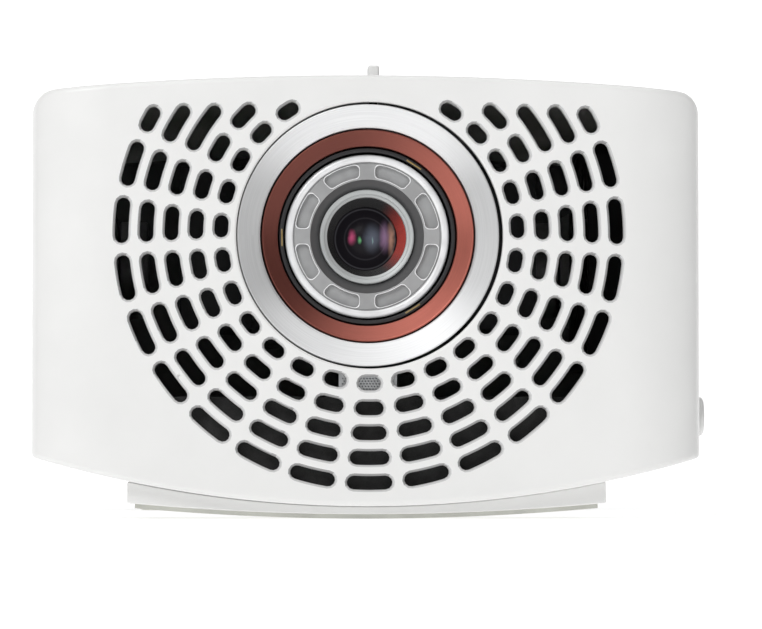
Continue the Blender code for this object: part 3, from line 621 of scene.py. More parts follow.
def smooth_loop(corners: Sequence[Place], steps: int = 4) -> list[Point]:
    """Rounds the corners of a closed outline.

    Args:
        corners: (a, b, radius) for each corner, in order.
        steps: Pieces in each rounded corner.

    Returns:
        The outline's points.
    """
    points: list[Point] = []
    count = len(corners)
    for index, (a, b, radius) in enumerate(corners):
        here = Vector((a, b))
        back = Vector(corners[index - 1][:2]) - here
        ahead = Vector(corners[(index + 1) % count][:2]) - here
        angle = back.angle(ahead)
        if radius <= 0 or angle > math.pi - 0.02:
            points.append((a, b))
            continue
        reach = radius / math.tan(angle / 2)
        back, ahead = back.normalized(), ahead.normalized()
        centre = here + (back + ahead).normalized() * (radius / math.sin(angle / 2))
        start, end = here + back * reach - centre, here + ahead * reach - centre
        sweep = start.angle_signed(end)
        for step in range(steps + 1):
            turned = Matrix.Rotation(-sweep * step / steps, 2) @ start
            points.append(tuple(centre + turned))
    return points


def rod(radius: float, near: float, far: float) -> list[Point]:
    """The profile of a plain rod that stands on its axis between two distances."""
    return [(0.0, near), (radius, near), (radius, far), (0.0, far)]


def lathe(profile: Sequence[Point], centre: Vector, axis: Axis = Axis.Y, segments: int = 128) -> Mesh:
    """Turns a closed profile about an axis.

    Args:
        profile: (radius, distance along the axis) points.
        centre: A point on the axis where the distance is 0.
        axis: The axis.
        segments: Facets round the axis.

    Returns:
        The closed mesh.
    """
    along = Vector(axis.value)
    first = Vector((1, 0, 0)) if axis is Axis.Z else Vector((0, 0, 1))
    second = along.cross(first)
    mesh = bmesh.new()
    rings: list[list[bmesh.types.BMVert]] = []
    for radius, distance in profile:
        spokes = 1 if radius < 1e-6 else segments
        turns = [math.tau * spoke / segments for spoke in range(spokes)]
        rings.append(
            [
                mesh.verts.new(centre + along * distance + (first * math.cos(t) + second * math.sin(t)) * radius)
                for t in turns
            ]
        )
    for ring, following in zip(rings, rings[1:] + rings[:1]):
        for spoke in range(segments):
            after = (spoke + 1) % segments
            corners = [ring[spoke % len(ring)], ring[after % len(ring)]]
            corners += [following[after % len(following)], following[spoke % len(following)]]
            unique = list(dict.fromkeys(corners))
            if len(unique) > 2:
                mesh.faces.new(unique)
    bmesh.ops.recalc_face_normals(mesh, faces=mesh.faces)
    return mesh


def sweep(outline: Sequence[Point], start: float, end: float, axis: Axis = Axis.Y) -> Mesh:
    """Sweeps a closed outline along an axis.

    Args:
        outline: (x, z), (y, z) or (x, y) points, for Y, X and Z.
        start: Where the sweep starts.
        end: Where it ends.
        axis: The axis.

    Returns:
        The closed mesh.
    """
    orders = {Axis.X: (2, 0, 1), Axis.Y: (0, 2, 1), Axis.Z: (0, 1, 2)}
    mesh = bmesh.new()
    loops = []
    for distance in (start, end):
        spots = [(a, b, distance) for a, b in outline]
        loops.append([mesh.verts.new([spot[i] for i in orders[axis]]) for spot in spots])
    for index in range(len(outline)):
        after = (index + 1) % len(outline)
        mesh.faces.new((loops[0][index], loops[0][after], loops[1][after], loops[1][index]))
    mesh.faces.new(loops[0])
    mesh.faces.new(loops[1])
    bmesh.ops.recalc_face_normals(mesh, faces=mesh.faces)
    return mesh


def block(low: Iterable[float], high: Iterable[float], rounding: float = 0.0, steps: int = 2) -> Mesh:
    """A box with rounded edges.

    Args:
        low: Its lowest corner.
        high: Its highest corner.
        rounding: Radius of its edges.
        steps: Pieces in each rounded edge.

    Returns:
        The closed mesh.
    """
    low, high = Vector(low), Vector(high)
    mesh = bmesh.new()
    scale = Matrix.Diagonal((*(high - low), 1))
    bmesh.ops.create_cube(mesh, size=1, matrix=Matrix.Translation((low + high) / 2) @ scale)
    if rounding > 0:
        bmesh.ops.bevel(mesh, geom=mesh.edges, offset=rounding, segments=steps, profile=0.5, affect="EDGES")
    return mesh


def merged(parts: Iterable[Mesh]) -> Mesh:
    """Puts several meshes into one and frees them."""
    whole = bmesh.new()
    for part in parts:
        data = bpy.data.meshes.new("part")
        part.to_mesh(data)
        part.free()
        whole.from_mesh(data)
        bpy.data.meshes.remove(data)
    return whole


def thing(name: str, mesh: Mesh, finish: bpy.types.Material | None = None) -> Thing:
    """Makes an object of a mesh in millimetres.

    Args:
        name: The object's name.
        mesh: The mesh, which is freed.
        finish: Its material.

    Returns:
        The object, at the origin.
    """
    bmesh.ops.transform(mesh, matrix=Matrix.Scale(MM, 4), verts=mesh.verts)
    data = bpy.data.meshes.new(name)
    mesh.to_mesh(data)
    mesh.free()
    if finish:
        data.materials.append(finish)
    made = bpy.data.objects.new(name, data)
    bpy.context.scene.collection.objects.link(made)
    return made


def settle(made: Thing) -> Thing:
    """Turns an object's modifiers into plain mesh and removes them."""
    depsgraph = bpy.context.evaluated_depsgraph_get()
    plain = bpy.data.meshes.new_from_object(
        made.evaluated_get(depsgraph), preserve_all_data_layers=True, depsgraph=depsgraph
    )
    old = made.data
    made.modifiers.clear()
    made.data = plain
    bpy.data.meshes.remove(old)
    return made


def carve(made: Thing, tool: Thing, operation: str = "DIFFERENCE") -> Thing:
    """Cuts a tool out of an object, or joins it on, and removes the tool.

    Args:
        made: The object.
        tool: What cuts it.
        operation: DIFFERENCE or UNION.

    Returns:
        The object, as plain mesh.
    """
    change = made.modifiers.new("carve", "BOOLEAN")
    change.object, change.operation, change.solver = tool, operation, "EXACT"
    settle(made)
    data = tool.data
    bpy.data.objects.remove(tool)
    bpy.data.meshes.remove(data)
    return made


class Pattern:
    """A Geometry Nodes tree with named sizes, which repeats a piece."""

    def __init__(self, name: str, from_surface: bool = False) -> None:
        """Starts an empty tree, which may start from its object's own surface."""
        self.tree = bpy.data.node_groups.new(name, "GeometryNodeTree")
        self.tree.interface.new_socket("Geometry", in_out="OUTPUT", socket_type="NodeSocketGeometry")
        self.graph = Graph(self.tree)
        self.entry = self.graph.node("NodeGroupInput")
        self.sockets: dict[str, str] = {}
        self.surface = self.size("Surface", "Geometry") if from_surface else None
        self.finish = self.size("Finish", "Material")

    def size(self, name: str, kind: str = "Float") -> Value:
        """Adds a named input of a kind such as Float, Int, Vector, Object or Material."""
        added = self.tree.interface.new_socket(name, in_out="INPUT", socket_type=f"NodeSocket{kind}")
        self.sockets[name] = added.identifier
        return Value(self.graph, self.entry.outputs[name])

    def piece(self) -> Value:
        """Adds an input for the object to repeat and returns its geometry."""
        source = self.size("Piece", "Object")
        return self.graph.out("GeometryNodeObjectInfo", inputs={"Object": source}, output="Geometry")

    def close(self, geometry: Value) -> None:
        """Ends the tree in real geometry with its finish."""
        real = self.graph.out("GeometryNodeRealizeInstances", inputs={0: geometry})
        dressed = self.graph.out("GeometryNodeSetMaterial", inputs={"Geometry": real, "Material": self.finish})
        self.graph.node("NodeGroupOutput", inputs={0: dressed})

    def run(self, name: str, sizes: dict[str, object], base: Thing | None = None) -> Thing:
        """Makes one object of the tree.

        Args:
            name: The object's name.
            sizes: A value for each named input, in metres and radians.
            base: The object that the tree starts from, or None for an empty one.

        Returns:
            The object, as plain mesh.
        """
        made = base or thing(name, bmesh.new())
        change = made.modifiers.new(name, "NODES")
        change.node_group = self.tree
        for label, value in sizes.items():
            change[self.sockets[label]] = value
        return settle(made)


def bent_row() -> Pattern:
    """A row of equal pieces, bent round the lens axis below it.

    Returns:
        The tree. Its sizes are Piece, Finish, Count, Pitch, Radius, Turn and Height.
    """
    pattern = Pattern("bent_row")
    graph = pattern.graph
    piece = pattern.piece()
    count, pitch = pattern.size("Count", "Int"), pattern.size("Pitch")
    radius, turn, height = pattern.size("Radius"), pattern.size("Turn"), pattern.size("Height")
    start = graph.join((count - 1) * pitch * -0.5, 0.0, 0.0)
    inputs = {"Count": count, "Start Location": start, "Offset": graph.join(pitch, 0.0, 0.0)}
    line = graph.out("GeometryNodeMeshLine", {"mode": "OFFSET"}, inputs)
    row = graph.out("GeometryNodeInstanceOnPoints", inputs={"Points": line, "Instance": piece})
    real = graph.out("GeometryNodeRealizeInstances", inputs={0: row})
    x, y, z = graph.axes(graph.out("GeometryNodeInputPosition"))
    angle = x / radius + turn
    reach = radius - z
    bent = graph.join(reach * angle.apply("SINE"), y, height - reach * angle.apply("COSINE"))
    pattern.close(graph.out("GeometryNodeSetPosition", inputs={"Geometry": real, "Position": bent}))
    return pattern


def straight_row() -> Pattern:
    """A straight row of equal pieces.

    Returns:
        The tree. Its sizes are Piece, Finish, Count, Start and Step.
    """
    pattern = Pattern("straight_row")
    graph = pattern.graph
    piece = pattern.piece()
    inputs = {
        "Count": pattern.size("Count", "Int"),
        "Start Location": pattern.size("Start", "Vector"),
        "Offset": pattern.size("Step", "Vector"),
    }
    line = graph.out("GeometryNodeMeshLine", {"mode": "OFFSET"}, inputs)
    pattern.close(graph.out("GeometryNodeInstanceOnPoints", inputs={"Points": line, "Instance": piece}))
    return pattern


def round_row() -> Pattern:
    """Equal pieces spaced evenly round an axis.

    Returns:
        The tree. Its sizes are Piece, Finish, Count, Centre, Axis and Turn.
    """
    pattern = Pattern("round_row")
    graph = pattern.graph
    piece = pattern.piece()
    count, centre = pattern.size("Count", "Int"), pattern.size("Centre", "Vector")
    axis, turn = pattern.size("Axis", "Vector"), pattern.size("Turn")
    place = {"Count": count, "Start Location": centre, "Offset": (0, 0, 0)}
    line = graph.out("GeometryNodeMeshLine", {"mode": "OFFSET"}, place)
    angle = graph.out("GeometryNodeInputIndex") * math.tau / count + turn
    spin = graph.out("FunctionNodeAxisAngleToRotation", inputs={"Axis": axis, "Angle": angle})
    pattern.close(
        graph.out("GeometryNodeInstanceOnPoints", inputs={"Points": line, "Instance": piece, "Rotation": spin})
    )
    return pattern


def scatter() -> Pattern:
    """Equal pieces spread over a surface, never closer than a distance, turned by quarter turns.

    Returns:
        The tree. Its sizes are Piece, Finish, Spacing and Seed. It starts from the surface's object.
    """
    pattern = Pattern("scatter", from_surface=True)
    graph = pattern.graph
    piece = pattern.piece()
    inputs = {
        "Mesh": pattern.surface,
        "Distance Min": pattern.size("Spacing"),
        "Density Max": 20000.0,
        "Seed": pattern.size("Seed", "Int"),
    }
    points = graph.out("GeometryNodeDistributePointsOnFaces", {"distribute_method": "POISSON"}, inputs)
    quarter = graph.node("FunctionNodeRandomValue", {"data_type": "INT"}, {"Seed": 5})
    quarter.inputs[4].default_value, quarter.inputs[5].default_value = 0, 3
    turn = graph.join(0.0, 0.0, Value(graph, quarter.outputs[2]) * (math.pi / 2))
    pattern.close(
        graph.out("GeometryNodeInstanceOnPoints", inputs={"Points": points, "Instance": piece, "Rotation": turn})
    )
    return pattern


# The frame and what is put on it


class Workshop:
    """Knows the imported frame, its finishes and the repeating patterns, and joins each finished piece to it."""

    def __init__(self, packed: dict) -> None:
        """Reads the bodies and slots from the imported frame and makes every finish."""
        self.nodes: dict[str, Thing] = packed["nodes"]
        record = packed["record"]
        self.body_of = {node: body for body, nodes in record["behaviour"]["bodies"].items() for node in nodes}
        self.slot_of = {part["node"]: Slot(part["material_slot"]) for part in record["subparts"]}
        self.materials = {slot: finish.build() for slot, finish in FINISHES.items()}
        self.bent_row, self.straight_row = bent_row(), straight_row()
        self.round_row, self.scatter = round_row(), scatter()
        self.replaced: set[str] = set()

    def low(self, node: str) -> Vector:
        """The node's lowest corner, in millimetres."""
        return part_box(node)[0] / MM

    def high(self, node: str) -> Vector:
        """The node's highest corner, in millimetres."""
        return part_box(node)[1] / MM

    def box(self, node: str) -> tuple[Vector, Vector]:
        """The node's lowest and highest corners, in millimetres."""
        return self.low(node), self.high(node)

    def size(self, node: str) -> Vector:
        """The size of the node's box, in millimetres."""
        return self.high(node) - self.low(node)

    def middle(self, node: str) -> Vector:
        """The middle of the node's box, in millimetres."""
        return (self.low(node) + self.high(node)) / 2

    def join(
        self, made: Thing, node: str, slot: Slot | None = None, replace: bool = True, sharp: float = 32.0
    ) -> Thing:
        """Gives a finished object its finish and its body.

        Args:
            made: The object.
            node: The CAD node that it belongs to.
            slot: The material slot, or None for the node's own.
            replace: Whether the object stands for the node.
            sharp: Edges that turn more than this many degrees stay sharp.

        Returns:
            The object.
        """
        slot = slot or self.slot_of[node]
        made.data.materials.clear()
        made.data.materials.append(self.materials[slot])
        made.data.polygons.foreach_set("material_index", [0] * len(made.data.polygons))
        made.data.shade_smooth()
        made.data.set_sharp_from_angle(angle=math.radians(sharp))
        body = self.body_of[node]
        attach(made, body)
        if replace and node not in self.replaced:
            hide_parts(node)
            self.replaced.add(node)
        log.info("%s on %s, %s, %d faces", made.name, body, slot.value, len(made.data.polygons))
        return made

    def paint(
        self, made: Thing, finish: Finish, chosen: Callable[[Vector, Vector], bool] = lambda *_: True
    ) -> None:
        """Gives some faces a second finish.

        Args:
            made: The object.
            finish: The finish.
            chosen: A test of a face's middle, in millimetres, and its normal. All faces pass by default.
        """
        made.data.materials.append(bpy.data.materials.get(finish.name) or finish.build())
        index = len(made.data.materials) - 1
        for face in made.data.polygons:
            if chosen(face.center / MM, face.normal):
                face.material_index = index

    def even(self, made: Thing) -> Thing:
        """Weights the normals by face area, so that flat faces beside small rounded edges stay flat."""
        made.data.shade_smooth()
        made.data.set_sharp_from_angle(angle=math.radians(32.0))
        change = made.modifiers.new("even", "WEIGHTED_NORMAL")
        change.keep_sharp, change.weight = True, 100
        return settle(made)

    def around(self, name: str, piece: Thing, count: int, centre: Vector, axis: Axis, turn: float = 0.0) -> Thing:
        """Repeats a piece round an axis, through a centre in millimetres and from a first turn, and removes it."""
        sizes = {"Piece": piece, "Count": count, "Centre": tuple(centre * MM), "Axis": axis.value, "Turn": turn}
        made = self.round_row.run(name, sizes)
        bpy.data.objects.remove(piece)
        return made

    def along(self, name: str, piece: Thing, count: int, start: Place, step: Place) -> Thing:
        """Repeats a piece in a straight row, with its start and step in millimetres, and removes it."""
        places = {"Start": tuple(v * MM for v in start), "Step": tuple(v * MM for v in step)}
        made = self.straight_row.run(name, {"Piece": piece, "Count": count, **places})
        bpy.data.objects.remove(piece)
        return made

    def dress_rest(self) -> None:
        """Gives every CAD node that still shows its own finish."""
        for name, node in self.nodes.items():
            if name in self.replaced:
                continue
            node.data.materials.clear()
            node.data.materials.append(self.materials[self.slot_of[name]])
            log.info("%s keeps its shape, %s", name, self.slot_of[name].value)


# Casing


@dataclass(frozen=True)
class BodyOutline:
    """The body's cross-section: a crowned top, upright sides and a rounded belly."""

    half: float
    top: float
    belly: float
    wall: float = 2.0
    crown_radius: float = 695.0
    belly_radius: float = 228.0
    top_corner: float = 4.5
    bottom_corner: float = 0.9
    flat_margin: float = 16.0
    side_rounding: float = 9.0
    edge_fillet: float = 1.2
    least_corner: float = 0.3

    def drop(self, x: float, half: float, radius: float) -> float:
        """How far a rounded corner has fallen at x."""
        past = min(max(abs(x) - (half - radius), 0.0), radius)
        return radius - math.sqrt(radius * radius - past * past)

    def top_z(self, x: float, inset: float = 0.0) -> float:
        """Height of the top at x, set in by the inset."""
        corner = self.drop(x, self.half - inset, max(self.top_corner - inset, self.least_corner))
        return self.top - inset - x * x / (2 * self.crown_radius) - corner

    def belly_z(self, x: float, inset: float = 0.0) -> float:
        """Height of the underside at x, set in by the inset."""
        corner = self.drop(x, self.half - inset, max(self.bottom_corner - inset, self.least_corner))
        return self.belly + inset + x * x / (2 * self.belly_radius) + corner

    def fall(self, x: float) -> float:
        """How far an end face has turned back at x."""
        share = min(max(abs(x) - (self.half - self.flat_margin), 0.0) / self.flat_margin, 1.0)
        return self.side_rounding * (1 - math.sqrt(1 - share * share))

    def stations(self, inset: float = 0.0) -> list[float]:
        """The x places across the body, closer together where it turns.

        Args:
            inset: How far the outline is set in.

        Returns:
            The places from left to right.
        """
        half, flat = self.half - inset, self.half - self.flat_margin
        across = [flat * step / 10 for step in range(11)]
        strip = half - self.top_corner - flat
        across += [flat + strip * step / 9 for step in range(1, 10)]
        turns = (15, 28, 40, 51, 61, 70, 78, 85, 90)
        across += [half - self.top_corner * (1 - math.sin(math.radians(turn))) for turn in turns]
        return [-x for x in reversed(across[1:])] + across

    def cover(self, end: float, inward: int, depth: float) -> Mesh:
        """A dished cover that closes one end of the body.

        Args:
            end: Where its flat face stands along Y.
            inward: 1 at the front, -1 at the rear.
            depth: How far its sides reach along the body.

        Returns:
            The closed mesh, with one flat face over the middle of each side of the wall.
        """
        mesh = bmesh.new()
        flat = self.half - self.flat_margin

        def ring(inset: float, distance: Callable[[float], float]) -> tuple[list, list]:
            """The outline's vertices at an inset, above and below."""
            places = self.stations(inset)
            return tuple(
                [mesh.verts.new((x, end + inward * distance(x), height(x, inset))) for x in places]
                for height in (self.top_z, self.belly_z)
            )

        def bridge(first: tuple[list, list], second: tuple[list, list]) -> None:
            """Quads between two rings."""
            a, b = first[0] + first[1][::-1], second[0] + second[1][::-1]
            for index in range(len(a)):
                after = (index + 1) % len(a)
                mesh.faces.new((a[index], a[after], b[after], b[index]))

        def close(pair: tuple[list, list]) -> None:
            """One flat face over the middle and strips up the rounded sides."""
            above, below = pair
            middle = [index for index, x in enumerate(self.stations()) if abs(x) <= flat + 1e-6]
            mesh.faces.new([above[index] for index in middle] + [below[index] for index in reversed(middle)])
            for index in range(len(above) - 1):
                if index < middle[0] or index >= middle[-1]:
                    mesh.faces.new((above[index], above[index + 1], below[index + 1], below[index]))

        rings = [ring(0.0, lambda x: depth)]
        steps = 6
        for step in range(steps + 1):
            angle = math.pi / 2 * step / steps
            inset, back = self.edge_fillet * (1 - math.cos(angle)), self.edge_fillet * (1 - math.sin(angle))
            rings.append(ring(inset, lambda x, back=back: self.fall(x) + back))
        rings_inside = [ring(self.wall, lambda x: self.fall(x) + self.wall), ring(self.wall, lambda x: depth)]
        for first, second in zip(rings, rings[1:]):
            bridge(first, second)
        close(rings[-1])
        close(rings_inside[0])
        bridge(*rings_inside)
        bridge(rings_inside[1], rings[0])
        bmesh.ops.recalc_face_normals(mesh, faces=mesh.faces)
        return mesh

    def shell(self, upper: bool, joint: float) -> list[Point]:
        """The outline of the upper or lower half of the casing, as one closed loop that ends at the joint."""
        height = self.top_z if upper else self.belly_z
        outer = [(x, height(x)) for x in self.stations()]
        inner = [(x, height(x, self.wall)) for x in reversed(self.stations(self.wall))]
        inside = self.half - self.wall
        return [(-self.half, joint)] + outer + [(self.half, joint), (inside, joint)] + inner + [(-inside, joint)]


def loft(loops: Sequence[Sequence[Place]]) -> Mesh:
    """Skins a row of closed loops of equal length and closes both ends."""
    mesh = bmesh.new()
    rings = [[mesh.verts.new(spot) for spot in loop] for loop in loops]
    for ring, following in zip(rings, rings[1:]):
        for index in range(len(ring)):
            after = (index + 1) % len(ring)
            mesh.faces.new((ring[index], ring[after], following[after], following[index]))
    mesh.faces.new(rings[0])
    mesh.faces.new(rings[-1])
    bmesh.ops.recalc_face_normals(mesh, faces=mesh.faces)
    return mesh


def stadium(length: float, width: float, side_steps: int = 6, end_steps: int = 6) -> list[Point]:
    """A slot's outline: two straight sides along the first axis and two round ends."""
    run, radius = (length - width) / 2, width / 2
    points: list[Point] = []
    for side in (1, -1):
        points += [(side * run * (2 * step / side_steps - 1), -side * radius) for step in range(side_steps)]
        for step in range(end_steps):
            angle = math.pi * (step / end_steps - 0.5)
            points.append((side * (run + radius * math.cos(angle)), side * radius * math.sin(angle)))
    return points


def spot(axis: Axis, a: float, b: float, distance: float) -> Place:
    """A point at a distance along an axis, where a and b are its other two numbers in order."""
    if axis is Axis.X:
        return distance, a, b
    return (a, distance, b) if axis is Axis.Y else (a, b, distance)


def flared(
    outline: Outline, face: float, inward: int, mouth: float, depth: float, axis: Axis = Axis.Y
) -> list[list[Place]]:
    """The loops of a hole's cutter, whose mouth opens in a rounded edge.

    Args:
        outline: Gives the hole's outline, grown by a distance.
        face: Where the surface stands along the axis.
        inward: 1 when the hole goes up the axis, -1 when it goes down.
        mouth: Radius of the rounded edge.
        depth: How deep the hole is.
        axis: The hole's axis.

    Returns:
        The loops from outside to inside.
    """
    turns = [math.radians(turn) for turn in (12, 35, 60, 90)]
    levels = [(-1.0, mouth * (1 - math.sin(turns[0])))]
    levels += [(mouth * (1 - math.cos(turn)), mouth * (1 - math.sin(turn))) for turn in turns]
    levels.append((depth, 0.0))
    return [[spot(axis, a, b, face + inward * level) for a, b in outline(grow)] for level, grow in levels]


def pill(centre: Point, length: float, width: float, upright: bool = False) -> Outline:
    """A stadium outline about a centre that can be grown, lying along the first axis or upright."""

    def outline(grow: float) -> list[Point]:
        """The outline, grown by a distance."""
        points = stadium(length + 2 * grow, width + 2 * grow, 2)
        return [(centre[0] + (b if upright else a), centre[1] + (a if upright else b)) for a, b in points]

    return outline


def panel(low: Point, high: Point, corner: float, steps: int = 4) -> Outline:
    """A rectangle outline with rounded corners that can be grown."""

    def outline(grow: float) -> list[Point]:
        """The outline, grown by a distance."""
        a, b, c, d = low[0] - grow, low[1] - grow, high[0] + grow, high[1] + grow
        radius = max(corner + grow, 0.02)
        return smooth_loop([(a, b, radius), (c, b, radius), (c, d, radius), (a, d, radius)], steps)

    return outline


def circle(centre: Point, radius: float, segments: int = 32) -> Outline:
    """A round outline that can be grown."""

    def outline(grow: float) -> list[Point]:
        """The outline, grown by a distance."""
        turns = [math.tau * step / segments for step in range(segments)]
        return [(centre[0] + (radius + grow) * math.cos(t), centre[1] + (radius + grow) * math.sin(t)) for t in turns]

    return outline


def pillow(
    outline: Outline, start: float, end: float, edge: float, axis: Axis = Axis.Y, steps: int = 4
) -> Mesh:
    """A solid of one outline whose edges are rounded at both ends.

    Args:
        outline: Gives the outline, grown by a distance.
        start: Where it starts along the axis.
        end: Where it ends.
        edge: Radius of the rounded ends.
        axis: The axis.
        steps: Pieces in each rounding.

    Returns:
        The closed mesh.
    """
    way = 1 if end > start else -1
    turns = [math.pi / 2 * step / steps for step in range(steps + 1)]
    levels = [(start + way * edge * (1 - math.sin(t)), -edge * (1 - math.cos(t))) for t in reversed(turns)]
    levels += [(end - way * edge * (1 - math.sin(t)), -edge * (1 - math.cos(t))) for t in turns]
    return loft([[spot(axis, a, b, level) for a, b in outline(grow)] for level, grow in levels])


@dataclass
class FrontCover:
    """The front cover with its grille of five rings of slots."""

    shop: Workshop
    outline: BodyOutline
    lens: Vector
    lens_hole: float = 26.35
    slot_width: float = 2.7
    slot_gap: float = 2.35
    first_radius: float = 29.3
    ring_step: float = 4.9
    per_turn: int = 27
    last: tuple[int, ...] = (11, 10, 8, 9, 8)
    extras: dict[int, Point] = field(default_factory=lambda: {2: (122.9, 10.2), 4: (117.8, 5.3)})
    mouth: float = 0.58
    hole_edge: float = 0.5
    hole_shift: float = 0.3
    # Mouth faces whose normal x less normal z passes this get the darker painted shade.
    painted_dark_shade_from: float = 0.2

    def slot_tool(self, length: float, face: float) -> Thing:
        """One straight slot cutter, with its length along X."""
        loops = flared(
            lambda grow: stadium(length + 2 * grow, self.slot_width + 2 * grow),
            face, 1, self.mouth, self.outline.wall + 1,
        )
        return thing("slot_tool", loft(loops))

    def arc(self, length: float, radius: float, count: int, pitch: float, turn: float, face: float) -> Thing:
        """A row of slot cutters bent round the lens.

        Args:
            length: Length of each slot.
            radius: Radius of the row.
            count: Number of slots.
            pitch: Distance from slot to slot along the row.
            turn: Angle of the row's middle from straight down.
            face: Where the front face stands along Y.

        Returns:
            The cutters as one object.
        """
        tool = self.slot_tool(length, face)
        sizes = {
            "Piece": tool, "Count": count, "Pitch": pitch * MM, "Radius": radius * MM,
            "Turn": turn, "Height": self.lens.z * MM,
        }
        row = self.shop.bent_row.run("slots", sizes)
        row.data.transform(Matrix.Translation((self.hole_shift * MM, 0.0, 0.0)))
        bpy.data.objects.remove(tool)
        return row

    def build(self) -> None:
        """Makes the cover, cuts the grille and the lens hole, and puts it on the case."""
        node = "front_cover"
        face, back = self.shop.low(node).y, self.shop.high(node).y
        cover = thing("front_cover_shell", self.outline.cover(face, 1, back - face))
        step = math.tau / self.per_turn
        slots: list[Place] = []
        for ring, last in enumerate(self.last):
            radius = self.first_radius + ring * self.ring_step
            pitch = radius * step
            carve(cover, self.arc(pitch - self.slot_gap, radius, 2 * last + 1, pitch, 0.0, face))
            slots += [(radius, place * step, pitch - self.slot_gap) for place in range(-last, last + 1)]
            if ring in self.extras:
                degrees, length = self.extras[ring]
                for side in (-1, 1):
                    carve(cover, self.arc(length, radius, 1, pitch, side * math.radians(degrees), face))
                    slots.append((radius, side * math.radians(degrees), length))
        edge = self.hole_edge
        bore = [(0.0, face - 1), (self.lens_hole + edge * 0.8, face - 1), (self.lens_hole + edge * 0.8, face + 0.01)]
        for turn in (35, 60, 90):
            angle = math.radians(turn)
            bore.append((self.lens_hole + edge * (1 - math.sin(angle)), face + edge * (1 - math.cos(angle))))
        bore += [(self.lens_hole, face + self.outline.wall + 1), (0.0, face + self.outline.wall + 1)]
        carve(cover, thing("lens_tool", lathe(bore, self.lens + Vector((self.hole_shift, 0, 0)), segments=160)))
        self.shop.join(cover, node)
        cover = self.shop.even(cover)
        at_mouth = self.mouths(slots, face)
        # Painted shade: the slot mouths are painted grey, and darker where they face down and to the right.
        self.shop.paint(cover, MOUTH_PAINTED_SHADE, at_mouth)
        shaded = self.painted_dark_shade_from
        self.shop.paint(cover, MOUTH_PAINTED_DARK_SHADE, lambda c, normal: normal.x - normal.z > shaded and at_mouth(c, normal))

    def mouths(self, slots: list[Place], face: float) -> Callable[[Vector, Vector], bool]:
        """A test that picks the faces of the slots' rounded mouths.

        Args:
            slots: (radius, angle from straight down, length) of each slot.
            face: Where the front face stands along Y.

        Returns:
            The test.
        """
        across = self.slot_width / 2 + self.mouth

        def at_mouth(centre: Vector, normal: Vector) -> bool:
            """Whether a face lies between the front face and a slot's wall."""
            if not face < centre.y < face + self.mouth or normal.y < -0.995:
                return False
            x, up = centre.x - self.lens.x - self.hole_shift, centre.z - self.lens.z
            turn, reach = math.atan2(x, -up), math.hypot(x, up)
            return any(
                abs(reach - radius) < across
                and abs(math.remainder(turn - angle, math.tau)) * radius < length / 2 + self.mouth
                for radius, angle, length in slots
            )

        return at_mouth


# Lens


